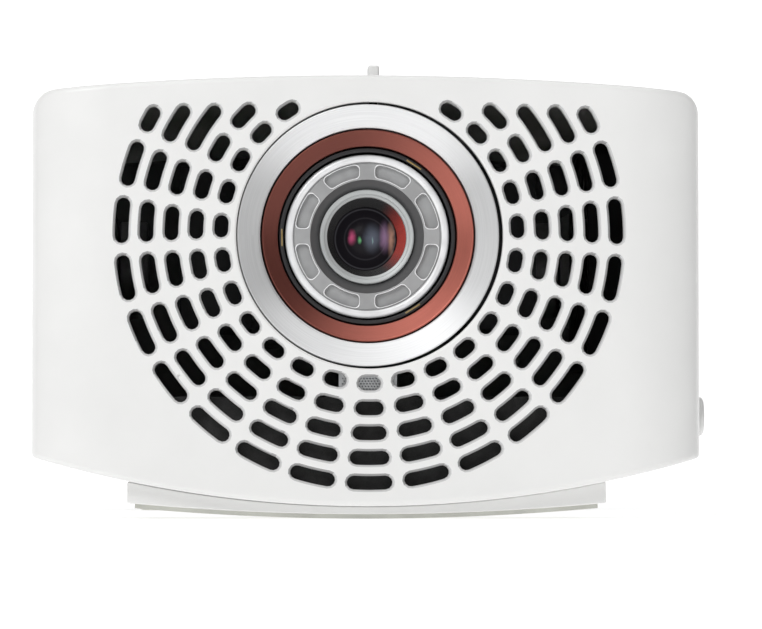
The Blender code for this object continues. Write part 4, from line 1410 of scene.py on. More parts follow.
@dataclass
class LensFront:
    """The fixed rings round the lens: spun bezel, bronze cone, black shroud and the clear retainer."""

    shop: Workshop
    lens: Vector
    edge: float = 0.3
    bezel_dish: float = 1.2
    accent_dish: float = 2.4
    windows: int = 8
    rib: float = 3.2
    window_depth: float = 0.8
    window_corner: float = 0.9
    bead: float = 1.5
    bead_height: float = 0.5
    groove: float = 0.18
    skirt: float = 1.8
    sleeve: float = 17.5
    lip: float = 0.16
    lip_height: float = 0.14
    lip_root: float = 0.3
    window_edge: float = 0.08
    patch_turns: tuple[int, ...] = (57, 181, 302)
    patch_size: Point = (3.4, 0.3)

    def span(self, node: str) -> tuple[float, float, float]:
        """A turned node's outer radius, front and back."""
        low, high = self.shop.box(node)
        return (high.x - low.x) / 2, low.y, high.y

    def turned(self, name: str, node: str, corners: Sequence[Place], segments: int = 160) -> Thing:
        """Turns a (radius, y, rounding) outline about the lens axis and joins it to the frame."""
        made = thing(name, lathe(smooth_loop(corners), self.lens, segments=segments))
        self.shop.join(made, node)
        return self.shop.even(made)

    def build(self) -> None:
        """Makes every ring."""
        outer, face, back = self.span("bezel_ring")
        accent_outer, accent_face, accent_back = self.span("accent_ring")
        bore = accent_outer + GAP
        bezel = [
            (outer, face, 0.25), (outer, back, 0.2), (bore, back, 0.2),
            (bore, face + self.bezel_dish, 0.25), (bore + 0.45, face + self.bezel_dish - 0.3, 0.2),
        ]
        self.turned("bezel_ring_spun", "bezel_ring", bezel)

        shroud_outer, shroud_face, shroud_back = outer, *self.span("lens_shroud")[1:]
        sleeve, accent_bore = self.sleeve, self.sleeve + GAP
        accent = [
            (accent_outer, accent_face, 0.25), (accent_outer, accent_back, 0.2),
            (accent_bore, accent_back, 0.2), (accent_bore, accent_face + self.accent_dish, 0.3),
        ]
        self.turned("accent_ring_anodised", "accent_ring", accent)

        retainer_outer, retainer_face, retainer_back = self.span("retainer_ring")
        inner = retainer_outer + 0.4
        flange = shroud_back - 1.5
        shroud = [
            (sleeve, shroud_face, 0.2), (sleeve, flange, 0.2), (shroud_outer, flange, 0.1),
            (shroud_outer, shroud_back, 0.2), (inner, shroud_back, 0.2), (inner, shroud_face, 0.2),
        ]
        self.turned("lens_shroud_sleeve", "lens_shroud", shroud, 128)
        self.amber_patches(inner + 0.25, shroud_face)
        self.retainer(retainer_outer, retainer_face, retainer_back)

    def amber_patches(self, radius: float, face: float) -> None:
        """Short amber patches on the sleeve's front edge."""
        long, wide = self.patch_size
        for number, degrees in enumerate(self.patch_turns, 1):
            mesh = block((radius - wide / 2, face - 0.06, -long / 2), (radius + wide / 2, face + 0.2, long / 2), 0.03)
            turn = Matrix.Translation(self.lens) @ Matrix.Rotation(-math.radians(degrees), 4, "Y")
            bmesh.ops.transform(mesh, matrix=turn, verts=mesh.verts)
            self.shop.paint(self.shop.join(thing(f"shroud_film_{number}", mesh), "lens_shroud"), AMBER_PATCH)

    def retainer(self, outer: float, face: float, back: float) -> None:
        """The clear ring: a rounded bead outside, and a flat face with recessed windows between ribs."""
        flat = face + self.bead_height
        bore = outer - 5.0
        shoulder = outer - self.bead
        groove = self.groove
        ring = [
            (outer, face + 0.1, 0.7), (outer, back, 0.2), (bore - self.skirt, back, 0.1),
            (bore - self.skirt, back - 0.4, 0.1),
            (bore, flat + 0.2, 0.2), (bore, flat, 0.12), (shoulder - 2 * groove, flat, 0.05),
            (shoulder - 2 * groove, flat + groove, 0.03), (shoulder - groove, flat + groove, 0.03),
            (shoulder, face - 0.05, 0.7),
        ]
        made = thing("retainer_ring_clear", lathe(smooth_loop(ring, 6), self.lens, segments=192))
        near, far = bore + 0.45, shoulder - 0.45
        half = math.pi / self.windows

        def window(grow: float) -> list[Point]:
            """One window's rounded outline about the lens axis, grown by a distance."""
            inside, outside = near - grow, far + grow
            spans = [half - (self.rib / 2 - grow) / radius for radius in (inside, outside)]
            arcs = 6
            corners = []
            for radius, span, way in ((inside, spans[0], 1), (outside, spans[1], -1)):
                for step in range(arcs + 1):
                    angle = way * span * (2 * step / arcs - 1)
                    rounding = self.window_corner if step in (0, arcs) else 0.0
                    corners.append((radius * math.sin(angle), radius * math.cos(angle), rounding))
            return smooth_loop(corners, 4)

        lip_front = flat - self.lip_height

        def window_tools() -> Thing:
            """The cutters of all the windows."""
            depth = self.window_depth + self.lip_height
            tool = thing("window_tool", loft(flared(window, lip_front, 1, self.window_edge, depth)))
            return self.shop.around("window_tools", tool, self.windows, self.lens, Axis.Y, half)

        lip_back = flat + self.lip_root
        lip = pillow(lambda grow: window(grow + self.lip), lip_back, lip_front, 0.05, steps=2)
        lips = self.shop.around("retainer_window_lips", thing("lip", lip), self.windows, self.lens, Axis.Y, half)
        carve(lips, window_tools())
        carve(made, window_tools())
        # The window lips get a painted highlight.
        self.shop.paint(self.shop.join(lips, "retainer_ring"), BEAD_PAINTED_HIGHLIGHT)
        self.shop.join(made, "retainer_ring")
        made = self.shop.even(made)

        def reach(centre: Vector) -> float:
            """A face's distance from the lens axis."""
            return math.hypot(centre.x - self.lens.x, centre.z - self.lens.z)

        # Painted highlight on the outer bead.
        self.shop.paint(made, BEAD_PAINTED_HIGHLIGHT, lambda centre, _: reach(centre) > shoulder)
        # Painted shade on the inner skirt below the bore.
        self.shop.paint(made, GROOVE_PAINTED_SHADE, lambda centre, _: reach(centre) < bore)


@dataclass
class LensCell:
    """What moves for focus: the rim, the cell with its steps, both glasses, and the focus ring with its lever."""

    shop: Workshop
    lens: Vector
    baffle_steps: int = 9
    baffle_depth: float = 0.16
    grip_ribs: int = 60
    cap_edge: float = 0.5
    stem_inset: float = 0.4

    def build(self) -> None:
        """Makes every moving lens part."""
        shop = self.shop
        low, high = shop.box("lens_rim")
        outer, face, back = (high.x - low.x) / 2, low.y, high.y
        bore = outer - 1.5
        rim = [
            (outer, face, 0.3), (outer, back, 0.1), (bore, back, 0.1), (bore, face + 0.9, 0.15),
            (bore + 0.55, face + 0.75, 0.05), (bore + 0.6, face + 0.3, 0.05), (bore + 0.95, face + 0.2, 0.05),
        ]
        shop.paint(self.turn("lens_rim_turned", "lens_rim", smooth_loop(rim, 3)), RIM)
        self.cell()
        self.glasses()
        self.focus_ring()

    def turn(
        self, name: str, node: str, profile: list[Point], segments: int = 128, slot: Slot | None = None
    ) -> Thing:
        """Turns a profile about the lens axis and joins it to the frame."""
        made = thing(name, lathe(profile, self.lens, segments=segments))
        self.shop.join(made, node, slot)
        return self.shop.even(made)

    def cell(self) -> None:
        """The black cell: a bore that narrows in fine steps down to the glass, a ledge, and a plain tail."""
        low, high = self.shop.box("lens_cell")
        outer, face, back = (high.x - low.x) / 2, low.y, high.y
        bore = outer - 2.2
        glass = self.shop.low("front_lens").y + 1.2
        profile = [(outer, face), (outer, back), (bore, back), (bore, face + 14.0), (bore - 1.7, face + 14.0)]
        profile += [(bore - 1.7, face + 10.0), (bore, face + 10.0), (bore, glass)]
        for step in range(self.baffle_steps):
            share = (step + 1) / self.baffle_steps
            radius = bore - 0.55 + share * 1.5
            y = glass + (face + 0.25 - glass) * share
            profile += [(radius - 0.12, y + self.baffle_depth), (radius + self.baffle_depth, y + 0.05), (radius, y)]
        profile += [(outer - 0.9, face)]
        made = self.turn("lens_cell_barrel", "lens_cell", profile)
        # The cell's black carries a painted reflection, a red crescent towards +X.
        self.shop.paint(made, BARREL)

    def glasses(self) -> None:
        """The two glasses, each with a domed front and a ground edge."""
        for node in ("front_lens", "rear_lens"):
            low, high = self.shop.box(node)
            radius, vertex, back = (high.x - low.x) / 2, low.y, high.y
            sag = 2.5 if node == "front_lens" else 2.0
            sphere = (radius * radius + sag * sag) / (2 * sag)
            dome = []
            for step in range(15):
                reach = radius * step / 14
                dome.append((reach, vertex + sphere - math.sqrt(sphere * sphere - reach * reach)))
            profile = dome + [(radius, back - 0.3), (radius - 0.3, back), (0.0, back)]
            self.turn(f"{node}_glass", node, profile, 96)

    def focus_ring(self) -> None:
        """The ribbed focus ring with its stem, and the white cap that shows above the crown."""
        shop = self.shop
        low, high = shop.box("focus_ring")
        outer, start, end = (high.x - low.x) / 2 - 0.6, low.y, high.y
        bore = (shop.high("lens_mount").x - shop.low("lens_mount").x) / 2
        bore = min(bore, 13.0) + GAP
        profile = smooth_loop([(outer, start, 0.6), (outer, end, 0.6), (bore, end, 0.3), (bore, start, 0.3)])
        ring = thing("focus_ring_ribbed", lathe(profile, self.lens, segments=96))
        rib = pillow(panel((-0.35, start + 0.9), (0.35, end - 0.9), 0.2), outer - 0.4, outer + 0.55, 0.2, Axis.Z, 2)
        count = self.grip_ribs
        ribs = shop.around("focus_ribs", thing("rib", rib), count, self.lens, Axis.Y, math.pi / count)
        carve(ring, ribs, "UNION")
        cap_low, cap_high = shop.box("focus_lever_cap")
        inset, root = self.stem_inset, self.lens.z + outer - 1.5
        corners = ((cap_low.x + inset, cap_low.y + inset, root), (cap_high.x - inset, cap_high.y - inset, high.z))
        stem = block(*corners, 0.15)
        carve(ring, thing("stem", stem), "UNION")
        shop.join(ring, "focus_ring")
        outline = panel((cap_low.x, cap_low.y), (cap_high.x, cap_high.y), 0.5)
        cap = thing("focus_lever_cap_moulded", pillow(outline, cap_low.z, cap_high.z, self.cap_edge, Axis.Z, 5))
        shop.join(cap, "focus_lever_cap")


@dataclass
class Shells:
    """The casing's top cover and bottom case, with vents, the lever slot and the button holes."""

    shop: Workshop
    outline: BodyOutline
    vent: Point = (2.0, 38.0)
    vent_pitch: float = 4.4
    focus_range: float = 14.0
    lever_clear: float = 0.5
    edge: float = 0.35
    ears: Point = (23.0, 6.0)
    ear_room: float = 10.0
    boss: Place = (3.0, 3.5, 2.6)

    def build(self) -> None:
        """Makes both shells."""
        self.top()
        self.bottom()

    def open_row(self, body: Thing, middle: float, covered: float, height: float) -> None:
        """Cuts one row of upright vents in each side."""
        outline = self.outline
        count = int(covered / self.vent_pitch)
        for side in (-1, 1):
            loops = flared(
                pill((0.0, height), self.vent[1], self.vent[0], upright=True),
                side * outline.half, -side, self.edge, outline.wall + 1, Axis.X,
            )
            tool = thing("vent_tool", loft(loops))
            start = middle - (count - 1) / 2 * self.vent_pitch
            carve(body, self.shop.along("vents", tool, count, (0.0, start, 0.0), (0.0, self.vent_pitch, 0.0)))

    def top(self) -> None:
        """The top cover."""
        shop, outline = self.shop, self.outline
        low, high = shop.box("top_cover")
        top = thing("top_cover_shell", sweep(outline.shell(True, low.z), low.y, high.y))
        fan, speaker = shop.middle("fan_frame_right"), shop.middle("speaker_basket_right")
        self.open_row(top, fan.y, shop.size("fan_frame_right").y, fan.z)
        self.open_row(top, speaker.y, shop.size("speaker_basket_right").y, fan.z)
        cap_low, cap_high = shop.box("focus_lever_cap")
        axis = shop.middle("bezel_ring").z
        reach = (cap_high.z - axis) * math.sin(math.radians(self.focus_range))
        clear = self.lever_clear
        reach += 2 * clear
        corners = ((cap_low.x - reach, cap_low.y - clear), (cap_high.x + reach, cap_high.y + clear))
        slot = flared(panel(*corners, 1.2), outline.top, -1, self.edge, 2 * outline.wall, Axis.Z)
        carve(top, thing("lever_tool", loft(slot)))
        button = shop.middle("power_button")
        radius = shop.size("power_button").x / 2 + GAP
        hole = flared(circle((button.x, button.y), radius, 64), outline.top, -1, self.edge, 2 * outline.wall, Axis.Z)
        carve(top, thing("button_tool", loft(hole)))
        shop.join(top, "top_cover")
        shop.even(top)
        low_z, crown = shop.low("power_button").z, shop.high("power_button").z
        key = [(0.0, low_z), (radius - GAP, low_z), (radius - GAP, crown - 0.4), (radius - GAP - 0.12, crown - 0.12)]
        key += [(radius - GAP - 0.4, crown), (radius - 1.3, crown), (radius - 1.8, crown - 0.25), (0.0, crown - 0.4)]
        cap = thing("power_button_key", lathe(key, Vector((button.x, button.y, 0.0)), Axis.Z, 64))
        shop.join(cap, "power_button")

    def bottom(self) -> None:
        """The bottom case, with the bosses that hold the foot's pin."""
        shop, outline = self.shop, self.outline
        low, high = shop.box("bottom_case")
        bottom = thing("bottom_case_shell", sweep(outline.shell(False, high.z), low.y, high.y))
        foot, pin_low, pin_high = shop.high("front_foot"), shop.low("foot_hinge_pin"), shop.high("foot_hinge_pin")
        hinge_y, hinge_z = (pin_low.y + pin_high.y) / 2, (pin_low.z + pin_high.z) / 2
        ear_x, ear = self.ears
        half, top, rounding = self.boss
        for side in (-1, 1):
            reach = ear / 2 + self.lever_clear
            box = ((side * ear_x - reach, hinge_y - self.ear_room), (side * ear_x + reach, foot.y + 1.0))
            tool = flared(panel(*box, 0.8), outline.belly, 1, 0.2, outline.wall + 6, Axis.Z)
            carve(bottom, thing("ear_tool", loft(tool)))
        middle, button = shop.middle("release_button"), shop.size("release_button")
        clear = 2 * self.lever_clear
        oval = pill((middle.y, middle.z), button.y + clear, button.z + clear)
        hole = flared(oval, outline.half, -1, self.edge, outline.wall + 1, Axis.X)
        carve(bottom, thing("button_tool", loft(hole)))
        for side in (-1, 1):
            near = ear_x + ear / 2 + 2 * self.lever_clear
            floor = outline.belly_z(near) + outline.wall / 2
            boss = smooth_loop([
                (hinge_y - half, floor, 0), (hinge_y + half, floor, 0),
                (hinge_y + half, hinge_z + top, rounding), (hinge_y - half, hinge_z + top, rounding),
            ])
            xs = sorted((side * near, side * pin_high.x))
            carve(bottom, thing("boss", sweep(boss, *xs, Axis.X)), "UNION")
        radius = (pin_high.z - pin_low.z) / 2 + GAP
        bore = lathe(rod(radius, pin_low.x - 4, pin_high.x + 4), Vector((0, hinge_y, hinge_z)), Axis.X, 32)
        carve(bottom, thing("pin_tool", bore))
        shop.join(bottom, "bottom_case")
        shop.even(bottom)


@dataclass
class RearPanel:
    """The rear panel: sockets, receiver window and four countersunk screws."""

    shop: Workshop
    outline: BodyOutline
    sockets: tuple[str, ...] = (
        "video_port_1", "video_port_2", "usb_port", "usb_c_port", "headphone_jack", "av_jack", "dc_inlet",
    )
    jacks: dict[str, Point] = field(
        default_factory=lambda: {"headphone_jack": (1.8, 0.0), "av_jack": (1.8, 0.0), "dc_inlet": (3.2, 1.0)}
    )
    edge: float = 0.3
    shell: float = 0.45
    mouth_depth: float = 9.0
    field_margin: float = 4.0
    field_depth: float = 0.6

    def build(self) -> None:
        """Makes the panel and everything in it."""
        shop, outline = self.shop, self.outline
        face, front = shop.high("rear_panel").y, shop.low("rear_panel").y
        rear = thing("rear_panel_shell", outline.cover(face, -1, face - front))
        low = Vector((min(shop.low(name).x for name in self.sockets), 0, shop.low("usb_port").z))
        highs = [shop.high(name) for name in self.sockets]
        high = Vector((max(corner.x for corner in highs), 0, max(corner.z for corner in highs)))
        margin = self.field_margin
        corners = ((-high.x - margin, low.z - margin), (high.x + margin, high.z + margin))
        carve(rear, thing("field_tool", loft(flared(panel(*corners, 2.0, 6), face, -1, self.edge, self.field_depth))))
        depth = outline.wall + 1
        for name in self.sockets + ("ir_window",):
            low, high = shop.box(name)
            corner = (high.z - low.z) / 2 - 0.05 if name == "usb_c_port" else 0.6
            hole = panel((low.x - GAP, low.z - GAP), (high.x + GAP, high.z + GAP), corner)
            start = face if name == "ir_window" else face - self.field_depth
            carve(rear, thing("hole_tool", loft(flared(hole, start, -1, self.edge, depth))))
        for index in range(1, 5):
            middle = shop.middle(f"rear_screw_{index}")
            centre = Vector((middle.x, 0, middle.z))
            hole = [(0.0, face + 1), (3.0, face + 1), (3.0, face - 0.01), (2.85, face - 0.2), (2.8, face - 1.2)]
            hole += [(1.6, face - 1.2), (1.6, face - depth), (0.0, face - depth)]
            carve(rear, thing("screw_tool", lathe(hole, centre, segments=40)))
            self.screw(f"rear_screw_{index}", centre, face)
        shop.join(rear, "rear_panel")
        shop.even(rear)
        for name in self.sockets:
            self.jack(name) if name in self.jacks else self.socket(name)
        low, high = shop.box("ir_window")
        window = pillow(panel((low.x, low.z), (high.x, high.z), 1.0), low.y, high.y, 0.25)
        shop.join(thing("ir_window_lens", window), "ir_window")

    def screw(self, name: str, centre: Vector, face: float) -> None:
        """One pan screw with a cross recess and a threaded shank."""
        head, seat, tip = face - GAP, face - 1.2 + GAP, self.shop.low(name).y
        profile = [(0.0, tip), (0.8, tip), (1.3, tip + 0.6)]
        turns = 12
        for thread in range(turns):
            y = tip + 0.6 + (seat - tip - 0.8) * thread / turns
            profile += [(1.3, y + 0.12), (1.05, y + 0.3)]
        profile += [(1.3, seat), (2.2, seat), (2.4, seat + 0.15), (2.4, head - 0.25), (2.15, head), (0.0, head)]
        made = thing(f"{name}_cross", lathe(profile, centre, segments=32))
        for half_x, half_z in ((1.2, 0.25), (0.25, 1.2)):
            near = (centre.x - half_x, head - 0.45, centre.z - half_z)
            far = (centre.x + half_x, head + 1, centre.z + half_z)
            carve(made, thing("cross_tool", block(near, far, 0.08, 1)))
        self.shop.join(made, name)

    def socket(self, name: str) -> None:
        """A plated shell with rounded corners round a tongue that carries a row of contacts."""
        shop = self.shop
        low, high = shop.box(name)
        height = high.z - low.z
        corner = height / 2 - 0.02 if name == "usb_c_port" else 0.7
        outline = panel((low.x, low.z), (high.x, high.z), corner, 6)
        shell = thing(f"{name}_shell", pillow(outline, low.y, high.y, 0.15))
        inset = self.shell
        mouth = panel((low.x + inset, low.z + inset), (high.x - inset, high.z - inset), max(corner - inset, 0.2), 6)
        carve(shell, thing("mouth_tool", loft(flared(mouth, high.y, -1, 0.12, self.mouth_depth))))
        shop.join(shell, name)
        middle, thick = (low.z + high.z) / 2, min(height * 0.12, 0.55)
        side = 2.2 if height > 5 else 1.4
        flat = panel((low.x + side, middle - thick), (high.x - side, middle + thick), 0.2)
        tongue = pillow(flat, low.y + 1.5, high.y - 1.8, 0.15)
        insert = thing(f"{name}_tongue", tongue)
        shop.join(insert, name, Slot.BLACK, replace=False)
        pitch = 1.0 if height > 5 else 0.55
        count = int((high.x - low.x - 2 * side - 0.6) / pitch)
        pin = thing("pin", block((-0.18, -2.4, -0.08), (0.18, 2.4, 0.08), 0.04, 1))
        start = ((low.x + high.x) / 2 - (count - 1) * pitch / 2, high.y - 4.6, middle + thick)
        contacts = shop.along(f"{name}_contacts", pin, count, start, (pitch, 0.0, 0.0))
        shop.join(contacts, name, Slot.COPPER, replace=False)

    def jack(self, name: str) -> None:
        """A round socket: a moulded body, a plated bush and, in the power inlet, a centre pin."""
        shop = self.shop
        low, high = shop.box(name)
        bore, pin = self.jacks[name]
        middle = (low + high) / 2
        body = thing(f"{name}_body", pillow(panel((low.x, low.z), (high.x, high.z), 0.6), low.y, high.y, 0.2))
        hole = flared(circle((middle.x, middle.z), bore + 0.5, 40), high.y, -1, 0.2, self.mouth_depth)
        carve(body, thing("jack_tool", loft(hole)))
        shop.join(body, name, Slot.BLACK)
        back = high.y - self.mouth_depth
        outside, front = bore + 0.45, high.y + 0.1
        bush = [(outside, back, 0), (outside, front, 0.12), (bore, front, 0.12), (bore, back, 0)]
        axis = Vector((middle.x, 0, middle.z))
        shop.join(thing(f"{name}_bush", lathe(smooth_loop(bush), axis, segments=48)), name, Slot.STEEL, replace=False)
        if pin:
            profile = smooth_loop([(0.0, back, 0), (pin, back, 0), (pin, high.y - 1.5, 0.5), (0.0, high.y - 1.5, 0)])
            shop.join(thing(f"{name}_pin", lathe(profile, axis, segments=32)), name, Slot.STEEL, replace=False)


@dataclass
class Standing:
    """What the projector stands on: the tilting front foot with its pad, the rear feet and the release button."""

    shop: Workshop
    outline: BodyOutline
    arc: float = 510.0
    foot_gap: float = 0.08
    foot_under: float = 0.9
    ear_x: float = 23.0
    ear: float = 6.0
    ear_radius: float = 3.0

    def build(self) -> None:
        """Makes the feet and the button."""
        self.front_foot()
        for side in ("left", "right"):
            self.rear_foot(side)
        self.button()

    def strip(
        self, half: float, above: Callable[[float], float], below: Callable[[float], float], edge: float
    ) -> Outline:
        """The outline of a strip across X between two heights, with rounded ends, that can be grown."""

        def outline(grow: float) -> list[Point]:
            """The outline, grown by a distance."""
            width, stations = half + grow, 36
            across = [width * (2 * step / stations - 1) for step in range(stations + 1)]
            rounding = [edge] + [0.0] * (stations - 1) + [edge]
            corners = [(x, above(x) + grow, soft) for x, soft in zip(across, rounding)]
            corners += [(x, below(x) - grow, soft) for x, soft in zip(reversed(across), rounding)]
            return smooth_loop(corners, 3)

        return outline

    def front_foot(self) -> None:
        """The wide foot, its two hinge ears and the rubber pad under it."""
        shop, outline = self.shop, self.outline
        low, high = shop.box("front_foot")
        pin_low, pin_high = shop.box("foot_hinge_pin")
        hinge_y, hinge_z = (pin_low.y + pin_high.y) / 2, (pin_low.z + pin_high.z) / 2
        rear, curve = hinge_y - 4.0, 2 * self.arc
        under = self.strip(
            high.x, lambda x: outline.belly_z(x) - self.foot_gap, lambda x: self.foot_under + x * x / curve, 0.25
        )
        foot = thing("front_foot_moulded", pillow(under, low.y, rear, 0.3, steps=3))
        for side in (-1, 1):
            loop = [(rear - 5, self.foot_under + 1.2), (rear, self.foot_under + 1.2)]
            for step in range(13):
                angle = math.radians(-40 + 17.5 * step)
                across, up = self.ear_radius * math.cos(angle), self.ear_radius * math.sin(angle)
                loop.append((hinge_y + across, hinge_z + up))
            middle = side * self.ear_x
            carve(foot, thing("ear", sweep(loop, middle - self.ear / 2, middle + self.ear / 2, Axis.X)), "UNION")
        radius = (pin_high.z - pin_low.z) / 2 + GAP
        bore = lathe(rod(radius, -40.0, 40.0), Vector((0, hinge_y, hinge_z)), Axis.X, 32)
        carve(foot, thing("pin_tool", bore))
        shop.join(foot, "front_foot")
        shop.even(foot)
        low, high = shop.box("foot_pad")
        pad = self.strip(high.x, lambda x: self.foot_under + 0.2 + x * x / curve, lambda x: x * x / curve, 0.15)
        made = thing("foot_pad_rubber", pillow(pad, low.y, high.y, 0.15, steps=3))
        shop.join(made, "foot_pad")

    def rear_foot(self, side: str) -> None:
        """A round rubber foot, grooved underneath, whose top follows the belly."""
        node = f"rear_foot_{side}"
        low, high = self.shop.box(node)
        middle, radius = (low + high) / 2, (high.x - low.x) / 2
        top = 1.0
        profile = [(0.0, 0.35), (1.2, 0.35), (1.4, 0.0)]
        for groove in (3.0, 4.6):
            profile += [(groove, 0.0), (groove + 0.15, 0.3), (groove + 0.5, 0.3), (groove + 0.65, 0.0)]
        profile += [(radius - 0.6, 0.0), (radius - 0.15, 0.2), (radius, 0.6), (radius, top), (0.0, top)]
        mesh = lathe(profile, Vector((middle.x, middle.y, 0)), Axis.Z, 72)
        for vert in mesh.verts:
            if vert.co.z > top - 0.1:
                vert.co.z = self.outline.belly_z(vert.co.x) - GAP
        self.shop.join(thing(f"{node}_rubber", mesh), node)

    def button(self) -> None:
        """The release button, with a softly domed face and two grip ridges."""
        low, high = self.shop.box("release_button")
        middle = (low + high) / 2
        length, width = high.y - low.y, high.z - low.z
        shape = pillow(pill((middle.y, middle.z), length, width), low.x, high.x, 0.7, Axis.X, 5)
        made = thing("release_button_key", shape)
        for offset in (-1.6, 1.6):
            line = pill((middle.y, middle.z + offset), length * 0.45, 0.5)
            groove = pillow(line, high.x - 0.2, high.x + 1, 0.05, Axis.X, 2)
            carve(made, thing("groove_tool", groove))
        self.shop.join(made, "release_button")
        self.shop.even(made)


@dataclass
class Cooling:
    """The two fans behind the side vents."""

    shop: Workshop
    blades: int = 7
    hub: float = 9.0
    corner: float = 3.0
    struts: int = 4
    screw_inset: float = 3.6
    screw_hole: float = 1.6

    def build(self) -> None:
        """Makes both fans."""
        for name, side in (("left", -1), ("right", 1)):
            self.frame(f"fan_frame_{name}", side)
            self.rotor(f"fan_rotor_{name}")

    def frame(self, node: str, side: int) -> None:
        """A square frame with a round bore, corner holes, and struts to the motor seat on its inner side."""
        shop = self.shop
        (low, high), middle = shop.box(node), shop.middle(node)
        half = (high.y - low.y) / 2
        shape = pillow(panel((low.y, low.z), (high.y, high.z), self.corner, 6), low.x, high.x, 0.4, Axis.X, 2)
        made = thing(f"{node}_moulded", shape)
        centre = Vector((0, middle.y, middle.z))
        bore = half - 2.0
        profile = [(0.0, low.x - 1), (bore + 0.6, low.x - 1), (bore + 0.6, low.x + 0.2), (bore, low.x + 1.0)]
        profile += [(bore, high.x - 1.0), (bore + 0.6, high.x - 0.2), (bore + 0.6, high.x + 1), (0.0, high.x + 1)]
        carve(made, thing("bore_tool", lathe(profile, centre, Axis.X, 96)))
        place = half - self.screw_inset
        for a in (-1, 1):
            for b in (-1, 1):
                corner = centre + Vector((0, a * place, b * place))
                hole = lathe(rod(self.screw_hole, low.x - 1, high.x + 1), corner, Axis.X, 24)
                carve(made, thing("corner_tool", hole))
        inner = low.x if side > 0 else high.x
        seat = sorted((inner + side * 0.05, inner + side * 0.75))
        disc = lathe(rod(self.hub, *seat), centre, Axis.X, 64)
        strut = thing("strut", block((seat[0], -0.8, self.hub - 0.5), (seat[1], 0.8, bore + 0.5), 0.15, 1))
        arms = shop.around("struts", strut, self.struts, centre, Axis.X, math.pi / 8)
        carve(made, thing("seat", disc), "UNION")
        carve(made, arms, "UNION")
        shop.join(made, node)
        shop.even(made)

    def rotor(self, node: str) -> None:
        """A hub with curved blades."""
        shop = self.shop
        (low, high), middle = shop.box(node), shop.middle(node)
        tip = (high.z - low.z) / 2
        thick = (high.x - low.x) / 2
        centre = Vector((middle.x, middle.y, middle.z))
        hub = smooth_loop([(0.0, -thick, 0), (self.hub, -thick, 0.8), (self.hub, thick, 0.8), (0.0, thick, 0)])
        made = thing(f"{node}_bladed", lathe(hub, centre, Axis.X, 64))
        loops = []
        tip = min(tip, (high.y - low.y) / 2, 22.0)
        for step in range(7):
            share = step / 6
            radius = self.hub - 0.8 + (tip - 0.3 - self.hub + 0.8) * share
            chord, pitch, lean = 7.2 + 3.0 * share, math.radians(52 - 18 * share), math.radians(18) * share
            loop = []
            for place in range(12):
                turn = math.tau * place / 12
                along, across = math.cos(turn) * chord / 2, math.sin(turn) * 0.45
                camber = 0.9 * (1 - (2 * along / chord) ** 2)
                x = along * math.cos(pitch) - (across + camber) * math.sin(pitch)
                side = along * math.sin(pitch) + (across + camber) * math.cos(pitch)
                angle = side / radius + lean
                inside = max(min(x, thick - 0.1), 0.1 - thick)
                loop.append((inside, radius * math.sin(angle), radius * math.cos(angle)))
            loops.append(loop)
        blade = thing("blade", loft(loops))
        carve(made, shop.around("blades", blade, self.blades, centre, Axis.X), "UNION")
        shop.join(made, node)


@dataclass
class Sound:
    """The two speakers behind the side vents."""

    shop: Workshop

    def build(self) -> None:
        """Makes each speaker's basket, cone and magnet."""
        for name, side in (("left", -1), ("right", 1)):
            basket, cone, magnet = (f"speaker_{part}_{name}" for part in ("basket", "cone", "magnet"))
            low, high = self.shop.box(basket)
            rim = (high.z - low.z) / 2
            face = high.x if side > 0 else low.x
            centre = Vector((face, (low.y + high.y) / 2, (low.z + high.z) / 2))
            outline = [
                (rim, 0, 0.4), (rim, 2, 0.4), (rim - 5, 11, 0.6), (rim - 9, 11, 0.2), (rim - 9, 9.8, 0.2),
                (rim - 6, 9.8, 0.5), (rim - 2.5, 2, 0.4), (rim - 2.5, 0, 0.3),
            ]
            self.turn(basket, f"{basket}_pressed", outline, centre, side)
            paper = [
                (0, 2.6, 0), (2.6, 3.1, 1.0), (4.6, 4.6, 0.4), (rim - 5.6, 1.6, 0.4), (rim - 4.4, 0.6, 0.8),
                (rim - 3.2, 1.2, 0.3), (rim - 3, 0.8, 0), (rim - 3, 1.5, 0), (rim - 4.4, 1.3, 0.6),
                (rim - 5.4, 2.4, 0.4),
                (5.0, 5.5, 0.4), (0, 5.6, 0),
            ]
            self.turn(cone, f"{cone}_paper", paper, centre, side)
            low, high = self.shop.box(magnet)
            near, far = sorted((abs(face - low.x), abs(face - high.x)))
            radius = (high.z - low.z) / 2
            disc = [(0, near, 0), (radius, near, 0.6), (radius, far, 0.6)]
            disc += [(2.0, far, 0.3), (2.0, far - 1.5, 0), (0, far - 1.5, 0)]
            self.turn(magnet, f"{magnet}_cup", disc, centre, side)

    def turn(self, node: str, name: str, corners: list[Place], centre: Vector, side: int) -> None:
        """Turns a (radius, depth, rounding) outline about the speaker's axis and joins it."""
        profile = [(radius, -side * depth) for radius, depth in smooth_loop(corners)]
        self.shop.join(thing(name, lathe(profile, centre, Axis.X, 96)), node)


